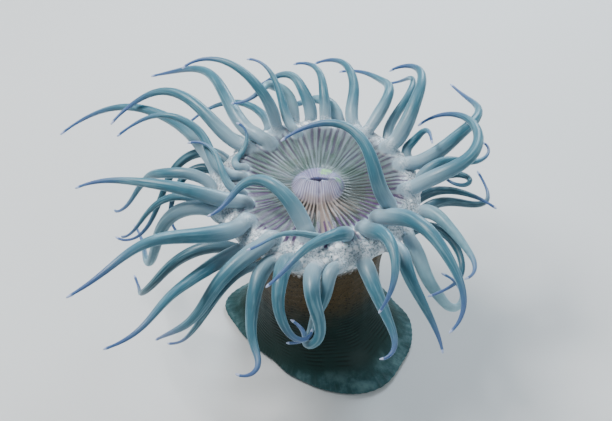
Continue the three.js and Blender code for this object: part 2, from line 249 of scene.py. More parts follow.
@dataclass
class BodyForm:
    """The outline of the body as a curve from the middle of the sole to the throat."""

    foot_reach: float = 20.5
    foot_edge: float = 0.9
    foot_flare: float = 4.0
    column: float = 15.4
    waist: float = 22.0
    collar_radius: float = 16.6
    collar_height: float = 35.0
    rim_radius: float = 24.4
    rim_height: float = 46.4
    crown: float = 49.9
    shoulder: float = 18.6
    disc: float = 48.4
    lip_base: float = 5.8
    lip_radius: float = 3.6
    lip_height: float = 51.4
    throat: float = 46.4
    mouth_slit: float = 0.16
    sole_inset: float = 0.7
    pitch: float = 0.1
    softness: float = 3.5
    line: np.ndarray = field(init=False)
    run: np.ndarray = field(init=False)

    def __post_init__(self) -> None:
        """Lays the outline out at an even fine pitch."""
        corners = np.array([*self._sole(), *self._wall(), *self._top(), *self._mouth()], float)
        step = np.hypot(*np.diff(corners, axis=0).T)
        run = np.concatenate([[0.0], np.cumsum(step)])
        even = np.arange(0.0, run[-1], self.pitch)
        radius = np.interp(even, run, corners[:, 0])
        height = np.interp(even, run, corners[:, 1])
        radius, height = eased(radius, self.softness), eased(height, self.softness)
        radius[0] = radius[-1] = 0.0
        height = np.where(even < self.foot_reach - 2.0, 0.0, height)
        self.line = np.stack([np.maximum(radius, 0.0), np.maximum(height, 0.0)], 1)
        self.run = even

    def _sole(self) -> list:
        """The flat sole."""
        return [(0.0, 0.0), (self.foot_reach - self.sole_inset, 0.0)]

    def wall_radius(self, height: np.ndarray) -> np.ndarray:
        """Radius of the wall without lobes.

        Args:
            height: heights above the floor.

        Returns:
            The radius at each height.
        """
        spread = (self.foot_reach - self.column) * self.flare(height)
        top = self.rim_height - self.collar_height
        rise = np.maximum(0.0, height - self.collar_height) / top
        lean = smooth_step(height, self.waist, self.collar_height)
        collar = (self.collar_radius - self.column) * lean
        return self.column + spread + collar + (self.rim_radius - self.collar_radius) * rise**1.25

    def flare(self, height: np.ndarray) -> np.ndarray:
        """Share of the foot's spread that is left at a height."""
        return np.exp(-np.maximum(0.0, height - self.foot_edge) / self.foot_flare)

    def _wall(self) -> list:
        """The edge of the foot, the column and the collar up to the rim."""
        heights = np.linspace(self.foot_edge, self.rim_height, 90)
        return list(zip(self.wall_radius(heights), heights))

    def _top(self) -> list:
        """The rounded rim, the shoulder and the hollow of the disc."""
        return [
            (self.rim_radius - 0.3, self.rim_height + 1.4),
            (self.rim_radius - 1.4, self.crown - 0.9),
            (self.rim_radius - 3.0, self.crown - 0.2),
            (self.shoulder, self.crown),
            (14.0, self.disc + 0.7),
            (self.lip_base + 2.0, self.disc + 0.1),
        ]

    def _mouth(self) -> list:
        """The lips and the throat between them."""
        return [
            (self.lip_base, self.disc + 0.5),
            (self.lip_base - 0.5, self.disc + 1.4),
            (self.lip_radius + 0.8, self.lip_height - 0.5),
            (self.lip_radius, self.lip_height - 0.1),
            (self.lip_radius - 0.9, self.lip_height - 0.5),
            (self.lip_radius - 1.7, self.throat + 2.2),
            (0.8, self.throat + 0.3),
            (0.0, self.throat),
        ]

    def run_at(self, radius: float, height: float) -> float:
        """Distance along the outline of the place nearest to a radius and height."""
        gap = np.hypot(self.line[:, 0] - radius, self.line[:, 1] - height)
        return float(self.run[gap.argmin()])

    def foot_run(self) -> float:
        """Distance along the outline of the foot's edge."""
        return self.run_at(self.foot_reach, self.foot_edge)

    def run_up_to(self, height: float) -> float:
        """Distance along the outline of the place where the wall reaches a height."""
        return self.run_at(float(self.wall_radius(np.array(height))), height)

    def read(self, run: np.ndarray) -> tuple:
        """Reads the outline.

        Args:
            run: distances along it.

        Returns:
            Radius, height, and the two parts of the outward normal.
        """
        radius = np.interp(run, self.run, self.line[:, 0])
        height = np.interp(run, self.run, self.line[:, 1])
        slope = np.gradient(self.line, self.run, axis=0)
        along_r = np.interp(run, self.run, slope[:, 0])
        along_z = np.interp(run, self.run, slope[:, 1])
        size = np.maximum(np.hypot(along_r, along_z), 1e-6)
        return radius, height, along_z / size, -along_r / size

    def reach(self, angle: np.ndarray) -> np.ndarray:
        """How far the lobes push the sole out in each direction.

        Args:
            angle: directions round the body, in radians.

        Returns:
            The extra reach in each direction, in millimetres.
        """
        extra = np.zeros_like(angle)
        for lobe in FOOT_LOBES:
            extra += lobe.reach * np.exp(-((turned(angle, lobe.at) / lobe.width) ** 2))
        return extra

    def clearance(self, points: np.ndarray) -> tuple:
        """How far points stand off the plain body.

        Args:
            points: places in millimetres.

        Returns:
            The distance of each, below zero inside, and the outward direction there.
        """
        flat = np.stack([np.hypot(points[:, 0], points[:, 1]), points[:, 2]], 1)
        gap = flat[:, None, :] - self.line[None, ::4, :]
        near = (gap**2).sum(2).argmin(1)
        _, _, out_r, out_z = self.read(self.run[::4][near])
        gap = flat - self.line[::4][near]
        depth = gap[:, 0] * out_r + gap[:, 1] * out_z
        angle = np.arctan2(points[:, 1], points[:, 0])
        outward = np.stack([out_r * np.cos(angle), out_r * np.sin(angle), out_z], 1)
        return depth, outward


# ---- relief -----------------------------------------------------------------------------


def wander(angle: np.ndarray, run: np.ndarray, waves: tuple, stretch: float, seed: int) -> np.ndarray:
    """A slow seeded wandering that closes on itself round the body.

    Args:
        angle: directions round the body, in radians.
        run: distances along the outline.
        waves: lowest and highest number of waves in one turn.
        stretch: how fast it changes along the outline, in radians per millimetre.
        seed: which wandering to give.

    Returns:
        Values that stay mostly between -1 and 1.
    """
    dice = np.random.default_rng(SEED + seed)
    total = np.zeros_like(angle)
    count = 6
    for _ in range(count):
        wave = int(dice.integers(waves[0], waves[1] + 1))
        lean = dice.uniform(-stretch, stretch)
        total += np.sin(wave * angle + lean * run + dice.uniform(0.0, 2 * math.pi))
    return total / math.sqrt(count)


@dataclass
class Relief:
    """The fine forms that stand on the body: frill, growth lines, warts, ridges and folds."""

    form: BodyForm
    frill_depth: float = 0.14
    frill_inset: float = 0.3
    growth_pitch: float = 0.95
    growth_depth: float = 0.06
    stria_count: int = 96
    stria_length: float = 2.2
    stria_depth: float = 0.06
    furrow_count: int = 24
    furrow_depth: float = 0.06
    crease_depth: float = 0.025
    ridge_count: int = 66
    ridge_depth: float = 0.1
    fold_count: int = 48
    fold_depth: float = 0.13
    fold_rise: float = 0.07
    front_rise: float = 0.26
    front_width: float = 36.0
    spine_at: float = -81.0
    spine_width: float = 45.0
    spine_depth: float = 0.3
    lip_lobe: float = 0.3
    groove_width: float = 0.4
    groove_depth: float = 0.55
    wart_foot: float = 19.5
    wart_crown: float = 19.4
    wart_gap: float = 1.45
    warts_in_row: int = 46
    wart_shift: float = 0.6
    wart_size: float = 0.28
    wart_swelling: float = 0.26
    wart_rise: float = 0.06
    wart_height: float = 0.3
    wart_reach: float = 2.6
    wart_inner: float = 13.0

    def frill(self, angle: np.ndarray) -> np.ndarray:
        """Small waves in the edge of the foot, in millimetres of reach."""
        return self.frill_depth * wander(angle, 0 * angle, (7, 17), 0.0, 1) - self.frill_inset

    def growth(self, angle: np.ndarray, run: np.ndarray, height: np.ndarray) -> np.ndarray:
        """Growth lines round the foot and the lower column, from -1 in a groove to 1 on a crest.

        Args:
            angle: directions round the body, in radians.
            run: distances along the outline.
            height: heights above the floor.

        Returns:
            The pattern at each place.
        """
        edge = self.form.foot_run()
        away = np.maximum(0.0, run - edge)
        phase = 2 * math.pi * away / self.growth_pitch + 1.6 * wander(angle, run, (2, 9), 0.22, 2)
        patchy = np.clip(0.5 + 0.5 * wander(angle, run, (4, 18), 0.9, 3), 0.05, 1.0)
        fade = smooth_step(away, 2.0, 7.0) * (1.0 - 0.6 * smooth_step(height, 12.0, 24.0))
        return np.sin(phase) * patchy * fade * (1.0 - smooth_step(height, 30.0, 34.0))

    def striae(self, angle: np.ndarray, run: np.ndarray) -> np.ndarray:
        """Fine radial striae at the edge of the foot, from -1 to 1.

        Args:
            angle: directions round the body, in radians.
            run: distances along the outline.

        Returns:
            The pattern at each place.
        """
        edge = self.form.foot_run()
        away = np.maximum(0.0, run - edge)
        rim = np.exp(-away / self.stria_length) * (run > edge - 0.5)
        return np.cos(self.stria_count * angle + 2.5 * wander(angle, run, (3, 7), 0.1, 4)) * rim

    def trunk(self, angle: np.ndarray, run: np.ndarray, height: np.ndarray) -> np.ndarray:
        """Faint upright furrows and creases on the column.

        Args:
            angle: directions round the body, in radians.
            run: distances along the outline.
            height: heights above the floor.

        Returns:
            The rise at each place.
        """
        on = smooth_step(height, 8.0, 16.0) * (1.0 - smooth_step(height, 36.0, 44.0))
        bends = 0.7 * wander(angle, run, (2, 5), 0.05, 5)
        furrows = self.furrow_depth * np.cos(self.furrow_count * angle + bends)
        creases = self.crease_depth * np.sin(2.3 * height + 2.2 * wander(angle, run, (3, 8), 0.2, 6))
        return on * (furrows + creases)

    def ridges(self, angle: np.ndarray, radius: np.ndarray) -> np.ndarray:
        """Radial ridges of the disc, from -1 in a groove to 1 on a crest.

        Args:
            angle: directions round the body, in radians.
            radius: distances from the axis.

        Returns:
            The pattern at each place.
        """
        swing = 1.7 * wander(angle, radius, (5, 17), 0.45, 7)
        uneven = np.clip(0.75 + 0.45 * wander(angle, radius, (11, 29), 0.5, 10), 0.1, 1.2)
        return np.clip(np.cos(self.ridge_count * angle + swing) * uneven, -1.0, 1.0)

    def folds(self, angle: np.ndarray, radius: np.ndarray) -> np.ndarray:
        """Broader folds that run from the lips over the front of the disc, from -1 to 1.

        Args:
            angle: directions round the body, in radians.
            radius: distances from the axis.

        Returns:
            The pattern at each place.
        """
        uneven = np.clip(0.8 + 0.4 * wander(angle, radius, (7, 19), 0.3, 11), 0.2, 1.2)
        swing = 1.1 * wander(angle, radius, (3, 11), 0.3, 9)
        return np.clip(np.cos(self.fold_count * angle + swing) * uneven, -1.0, 1.0)

    def disc(self, angle: np.ndarray, radius: np.ndarray) -> np.ndarray:
        """Rise of the disc's ridges and of the folds at its front.

        Args:
            angle: directions round the body, in radians.
            radius: distances from the axis.

        Returns:
            The rise at each place.
        """
        fade = smooth_step(radius, 6.0, 10.0) * (1.0 - smooth_step(radius, 17.0, 21.0))
        front = np.exp(-((turned(angle, -90.0) / self.front_width) ** 2))
        reach = smooth_step(radius, 4.8, 6.6) * (1.0 - smooth_step(radius, 9.0, 16.0))
        folds = self.folds(angle, radius) * reach * (self.fold_rise + self.front_rise * front)
        middle = turned(angle, self.spine_at) * radius / self.spine_width
        spine = self.spine_depth * np.exp(-(middle**2)) * smooth_step(radius, 5.0, 6.5)
        spine = spine * (1.0 - smooth_step(radius, 15.0, 18.0))
        return self.ridge_depth * self.ridges(angle, radius) * fade + folds + spine

    def lips(self, angle: np.ndarray, radius: np.ndarray) -> np.ndarray:
        """Puckered folds over the lips, with the groove that runs down from the mouth.

        Args:
            angle: directions round the body, in radians.
            radius: distances from the axis.

        Returns:
            The rise at each place.
        """
        on = smooth_step(radius, 1.6, 3.4) * (1.0 - smooth_step(radius, 5.2, 6.4))
        pucker = 0.5 * self.folds(angle, radius) + 0.5 * wander(angle, radius, (9, 17), 0.9, 8)
        away = radius * np.cos(angle) - 0.4
        front = smooth_step(-np.sin(angle), 0.2, 0.7) * smooth_step(radius, 1.0, 2.4)
        groove = np.exp(-((away / self.groove_width) ** 2)) * front * (1.0 - smooth_step(radius, 5.6, 6.6))
        lobes = self.lip_lobe * on * wander(angle, radius, (2, 6), 0.2, 12)
        return self.fold_depth * on * pucker + lobes - self.groove_depth * groove

    def warts(self, angle: np.ndarray, run: np.ndarray, radius: np.ndarray) -> tuple:
        """Warts in rows up the column, small below and swollen on the collar and its rim.

        Args:
            angle: directions round the body.
            run: distances along the outline.
            radius: distances from the axis.

        Returns:
            The rise in millimetres, and how much each place lies on a wart, from 0 to 1.
        """
        dice = np.random.default_rng(SEED)
        rise = np.zeros_like(angle)
        cover = np.zeros_like(angle)
        form = self.form
        first = form.run_up_to(self.wart_foot)
        white = form.run_at(form.collar_radius, form.collar_height)
        last = form.run_at(self.wart_crown, form.crown)
        for row, level in enumerate(np.arange(first, last, self.wart_gap)):
            band = np.flatnonzero((np.abs(run - level) < self.wart_reach) & (radius > self.wart_inner))
            big = float(smooth_step(level, white - 1.0, white + 4.0))
            for step in range(self.warts_in_row):
                spin = (step + 0.5 * (row % 2) + dice.uniform(-0.5, 0.5)) / self.warts_in_row
                shift = dice.uniform(-self.wart_shift, self.wart_shift)
                full = dice.uniform(0.5, 1.3) ** 1.5
                size = (self.wart_size + self.wart_swelling * big) * full
                turn = np.angle(np.exp(1j * (angle[band] - 2 * math.pi * spin)))
                gap = np.hypot(turn * radius[band], run[band] - level - shift)
                dome = np.exp(-((gap / size) ** 2))
                tall = self.wart_rise + self.wart_height * big * full
                rise[band] = np.maximum(rise[band], dome * tall)
                cover[band] = np.maximum(cover[band], dome)
        return rise, cover


@dataclass
class BodySurface:
    """Places points on the finished body from an angle and a distance along the outline."""

    form: BodyForm
    relief: Relief

    def plain(self, angle: np.ndarray, run: np.ndarray) -> tuple:
        """Points and outward directions on the body without its relief.

        Args:
            angle: directions round the body, in radians.
            run: distances along the outline.

        Returns:
            Points in millimetres and unit directions.
        """
        radius, height, out_r, out_z = self.form.read(run)
        share = np.minimum(1.0, radius / self.form.foot_reach)
        spread = (self.form.reach(angle) + self.relief.frill(angle)) * self.form.flare(height) * share
        spread = np.where(height > self.form.collar_height, 0.0, spread)
        wide = radius + spread
        lips = smooth_step(radius, self.form.lip_radius, self.form.lip_base)
        narrow = self.form.mouth_slit + (1.0 - self.form.mouth_slit) * lips
        narrow = np.where(height > self.form.rim_height - 1.0, narrow, 1.0)
        points = np.stack([wide * np.cos(angle), wide * np.sin(angle) * narrow, height], -1)
        normals = np.stack([out_r * np.cos(angle), out_r * np.sin(angle), out_z], -1)
        return points, normals

    def finished(self, angle: np.ndarray, run: np.ndarray) -> tuple:
        """Points of the body with all its relief, and the masks that go with it.

        Args:
            angle: directions round the body, in radians.
            run: distances along the outline.

        Returns:
            Points in millimetres and a dictionary of masks.
        """
        points, normals = self.plain(angle, run)
        radius, height, _, out_z = self.form.read(run)
        relief = self.relief
        body = (height > 0.02).astype(float)
        on_top = smooth_step(out_z, -0.1, 0.5) * (height > self.form.collar_height)
        on_top = np.maximum(on_top, (radius < self.form.lip_base) * (height > self.form.rim_height - 1.0))
        growth, striae = relief.growth(angle, run, height), relief.striae(angle, run)
        bumps, wart = relief.warts(angle, run, radius)
        wall = relief.growth_depth * growth + relief.stria_depth * striae + relief.trunk(angle, run, height)
        top = relief.disc(angle, radius) + relief.lips(angle, radius)
        rise = (wall * (1.0 - on_top) + top * on_top + bumps) * body
        masks = {
            "wart": wart,
            "line": np.where(on_top > 0.5, relief.ridges(angle, radius), growth),
            "fold": np.where(on_top > 0.5, relief.folds(angle, radius), striae),
        }
        return points + normals * rise[..., None], masks


# ---- tentacles --------------------------------------------------------------------------


@dataclass
class Arm:
    """One tentacle: where it leaves the body and the tube that it is."""

    pose: ArmPose
    form: BodyForm
    sides: int = 18
    bends: int = 28
    pitch: float = 0.55
    fewest: int = 24
    seat_search: float = 3.5
    seat_step: float = 0.05
    lead_steps: int = 9
    clear: float = 0.12
    tip_share: float = 0.1
    taper: float = 1.15
    swell: float = 0.25
    slim: float = 0.95
    thinnest: float = 0.33
    bulb: float = 0.15
    bulb_length: float = 1.2
    rib_depth: float = 0.018
    rib_inset: float = 0.012
    lump_depth: float = 0.008
    join_least: float = 2.2
    join_girths: float = 1.5
    settle_least: float = 0.6
    settle_girths: float = 0.55
    flare_curve: float = 2.2
    hold_curve: float = 1.5
    margin: float = 0.02
    bend_reach: float = 7.0
    run: float = field(init=False)
    spin: float = field(init=False)
    seat: np.ndarray = field(init=False)
    outward: np.ndarray = field(init=False)
    across: np.ndarray = field(init=False)
    flare: float = field(init=False, default=0.0)

    def __post_init__(self) -> None:
        """Finds the seat on the body that the tentacle grows from."""
        ring = RINGS[self.pose.ring]
        slope = math.radians(ring.slope)
        best, reach = None, 1e9
        for step in np.arange(-self.seat_search, self.seat_search, self.seat_step):
            radius = ring.radius + step * math.cos(slope)
            height = ring.height + step * math.sin(slope)
            miss = np.hypot(self.form.line[:, 0] - radius, self.form.line[:, 1] - height).min()
            if miss + 0.01 * abs(step) < reach:
                best, reach = (radius, height), miss + 0.01 * abs(step)
        self.run = self.form.run_at(*best)
        radius, height, out_r, out_z = (float(v) for v in self.form.read(np.array([self.run]))[:4])
        self.spin = spin = math.radians(self.pose.growth)
        self.seat = np.array([radius * math.cos(spin), radius * math.sin(spin), height])
        self.outward = np.array([out_r * math.cos(spin), out_r * math.sin(spin), out_z])
        self.across = np.array([-math.sin(spin), math.cos(spin), 0.0])

    def course(self) -> np.ndarray:
        """The posed middle line, from its place in the crown to the tip, at an even fine pitch."""
        ring = RINGS[self.pose.ring]
        fine = self.bends
        share = (np.arange(fine) + 0.5) / fine
        lift = np.radians(through(self.pose.lifts, share))
        heading = self.spin + np.radians(through(self.pose.turns, share))
        level = np.cos(lift)
        ahead = np.stack([level * np.cos(heading), level * np.sin(heading), np.sin(lift)], 1)
        x, y = ring.radius * math.cos(self.spin), ring.radius * math.sin(self.spin)
        start = np.array([x, y, ring.height])
        corners = np.vstack([start, start + np.cumsum(ahead, 0) * self.pose.length / fine])
        known = np.linspace(0.0, 1.0, fine + 1)
        count = max(self.fewest, int(self.pose.length / self.pitch))
        even = np.linspace(0.0, 1.0, count)
        smooth = [self._cubic(known, corners[:, axis], even) for axis in range(3)]
        return np.stack(smooth, 1)

    @staticmethod
    def _cubic(known: np.ndarray, values: np.ndarray, even: np.ndarray) -> np.ndarray:
        """Reads values through known places with smooth slopes.

        Args:
            known: the known places, in order.
            values: the values at the known places.
            even: the places to read at.

        Returns:
            The value at each place.
        """
        slope = np.gradient(values, known)
        at = np.minimum(np.searchsorted(known, even, "right") - 1, len(known) - 2)
        wide = known[at + 1] - known[at]
        f = (even - known[at]) / wide
        hermite = (2 * f**3 - 3 * f**2 + 1) * values[at] + (f**3 - 2 * f**2 + f) * wide * slope[at]
        return hermite + (3 * f**2 - 2 * f**3) * values[at + 1] + (f**3 - f**2) * wide * slope[at + 1]

    def radius(self, share: np.ndarray) -> np.ndarray:
        """Thickness of the tube along its length, with the small round swelling at the tip.

        Args:
            share: shares of the length, from 0 to 1.

        Returns:
            The radius at each share.
        """
        taper = 1.0 - (1.0 - self.tip_share) * np.clip(share, 0.0, 1.0) ** self.taper
        full = 1.0 + self.swell * smooth_step(share, 0.0, 0.2)
        left = (1.0 - share) * self.pose.length
        knob = self.bulb * smooth_step(left, self.bulb_length, 0.35 * self.bulb_length)
        return np.maximum(self.thinnest, self.slim * self.pose.girth * taper * full) + knob

    def fluted(self, turn: np.ndarray, share: float) -> np.ndarray:
        """How full the tube is round its section: soft lengthwise ribs that fade to the tip.

        Args:
            turn: directions round the section, in radians.
            share: the share of the length, from 0 to 1.

        Returns:
            A factor on the radius in each direction.
        """
        dice = np.random.default_rng(SEED + int(self.pose.growth))
        start, lean = dice.uniform(0.0, 2 * math.pi, 2)
        ribs = np.cos(5 * turn + start + 2.0 * share) + 0.7 * np.cos(3 * turn + lean - 3.0 * share)
        lumps = math.sin(31.0 * share + start) + 0.6 * math.sin(57.0 * share + lean)
        return 1.0 + (self.rib_depth * ribs - self.rib_inset + self.lump_depth * lumps) * (1.0 - share)

    def middle(self) -> tuple:
        """The middle line of the skin's tube, rising square from the seat.

        Returns:
            Points from the seat to the tip and the share of the length at each.
        """
        course = self.course()
        step = np.linalg.norm(np.diff(course, axis=0), axis=1)
        run = np.concatenate([[0.0], np.cumsum(step)])
        join = max(self.join_least, self.join_girths * self.pose.girth)
        first = int(np.searchsorted(run, join))
        target, ahead = course[first], course[first + 1] - course[first - 1]
        ahead /= np.linalg.norm(ahead)
        reach = np.linalg.norm(target - self.seat)
        f = np.linspace(0.0, 1.0, self.lead_steps)[:-1, None]
        lead = (2 * f**3 - 3 * f**2 + 1) * self.seat + (f**3 - 2 * f**2 + f) * reach * self.outward
        lead = lead + (3 * f**2 - 2 * f**3) * target + (f**3 - f**2) * reach * ahead
        line = np.vstack([lead, course[first:]])
        share = np.linspace(0.0, run[first] / run[-1], self.lead_steps)[:-1]
        share = np.concatenate([share, run[first:] / run[-1]])
        depth, outward = self.form.clearance(line)
        need = self.radius(share) + self.clear
        rising = smooth_step(np.arange(len(line)), 3, 9)
        lift = np.maximum(0.0, need - depth) * rising
        lift[0] = 0.0
        soft = np.maximum(eased(lift, 2.0), 0.0)
        soft[:2] = 0.0
        return line + outward * soft[:, None], share

    def tube(self, mouth: np.ndarray) -> tuple:
        """Rings of points from the opening in the body to the tip.

        Args:
            mouth: the points of the opening, in order.

        Returns:
            Rings of points, the tip, and the share of the length and the height of each ring.
        """
        line, share = self.middle()
        ahead = np.gradient(line, axis=0)
        ahead[0] = self.outward
        ahead /= np.linalg.norm(ahead, axis=1)[:, None]
        spin = np.linspace(0.0, 2 * math.pi, self.sides, endpoint=False)
        side = self.across
        wide = self.radius(share)
        height = np.concatenate([[0.0], np.cumsum(np.linalg.norm(np.diff(line, axis=0), axis=1))])
        settle = self.settle_least + self.settle_girths * self.pose.girth
        rooted = np.clip(1.0 - height / settle, 0.0, 1.0)
        wide = wide + (self.flare - wide[0]) * rooted**self.flare_curve
        rings = []
        for at, centre in enumerate(line):
            side = side - ahead[at] * side.dot(ahead[at])
            side /= np.linalg.norm(side)
            other = np.cross(ahead[at], side)
            flesh = (wide[at] * self.fluted(spin, float(share[at])))[:, None]
            ring = centre + flesh * (np.cos(spin)[:, None] * side + np.sin(spin)[:, None] * other)
            if rooted[at] > 0.0 and at > 0:
                raised = self.seat + self.outward * height[at] + (mouth - self.seat) * wide[at] / self.flare
                hold = rooted[at] ** self.hold_curve
                ring = ring * (1.0 - hold) + raised * hold
            rings.append(ring)
        rings[0] = mouth
        kept = max(2, int(wide[-1] / np.linalg.norm(line[-1] - line[-2])))
        rings = rings[:-kept]
        last = line[-kept - 1]
        end = rings[-1] - last
        left = np.linalg.norm(line[-1] - last)
        for turn in TIP_TURNS:
            centre = last + (line[-1] - last) * math.sin(turn)
            rings.append(centre + end * math.cos(turn))
        cap = line[-1]
        share, height = share[:-kept], height[:-kept]
        share = np.concatenate([share, np.ones(len(TIP_TURNS))])
        height = np.concatenate([height, height[-1] + np.array(TIP_RISES) * left])
        rings = np.array(rings)
        bend = self.way_in(rings)
        return rings - bend[:, None, :], cap - bend[-1], share, height

    def way_in(self, rings: np.ndarray) -> np.ndarray:
        """How far each ring bends inward, so that a high or wide tentacle keeps the solids' reach.

        Args:
            rings: the rings of the tube.

        Returns:
            A soft shift for each ring, to be taken off. It is nought where there is room.
        """
        low = np.array(CAD_BOX[0]) / MM + self.margin
        high = np.array(CAD_BOX[1]) / MM - self.margin
        low[2] = 0.0
        past = np.maximum(0.0, rings.max(1) - high) - np.maximum(0.0, low - rings.min(1))
        shift = np.zeros_like(past)
        for axis in range(3):
            over = past[:, axis]
            if not over.any():
                continue
            soft = eased(over, self.bend_reach)
            passing = np.abs(over) > 1e-6
            shift[:, axis] = soft * np.maximum(over[passing] / soft[passing], 1.0).max()
        return shift


# ---- the skin ---------------------------------------------------------------------------


@dataclass
class SkinMesh:
    """Points, faces and painted masks of the whole skin, gathered before the mesh is made."""

    points: list = field(default_factory=list)
    faces: list = field(default_factory=list)
    masks: dict = field(default_factory=dict)
    count: int = 0

    def add(self, points: np.ndarray, **masks: np.ndarray) -> int:
        """Adds points with their masks.

        Args:
            points: places in millimetres.
            masks: one value for each point, or one for all.

        Returns:
            The number of the first point added.
        """
        first = self.count
        self.points.append(points)
        for name, values in masks.items():
            full = np.broadcast_to(np.asarray(values, float), (len(points),))
            self.masks.setdefault(name, []).append(full)
        self.count += len(points)
        return first

    def strip(self, low: np.ndarray, high: np.ndarray) -> None:
        """Joins two closed rings of point numbers with four-sided faces."""
        turned_low, turned_high = np.roll(low, -1), np.roll(high, -1)
        self.faces.extend(np.stack([low, turned_low, turned_high, high], 1).tolist())

    def fan(self, ring: np.ndarray, tip: int, upward: bool) -> None:
        """Closes a ring onto one point."""
        following = np.roll(ring, -1)
        for a, b in zip(ring.tolist(), following.tolist()):
            self.faces.append([a, b, tip] if upward else [b, a, tip])

    def build(self, name: str) -> bpy.types.Object:
        """Makes the object, in metres, with its masks as attributes."""
        mesh = bpy.data.meshes.new(name)
        points = np.concatenate(self.points) * MM
        mesh.from_pydata(points.tolist(), [], self.faces)
        for mask, runs in self.masks.items():
            layer = mesh.attributes.new(mask, "FLOAT", "POINT")
            layer.data.foreach_set("value", np.concatenate(runs).astype(np.float32))
        mesh.shade_smooth()
        mesh.update()
        thing = bpy.data.objects.new(name, mesh)
        bpy.context.scene.collection.objects.link(thing)
        return thing


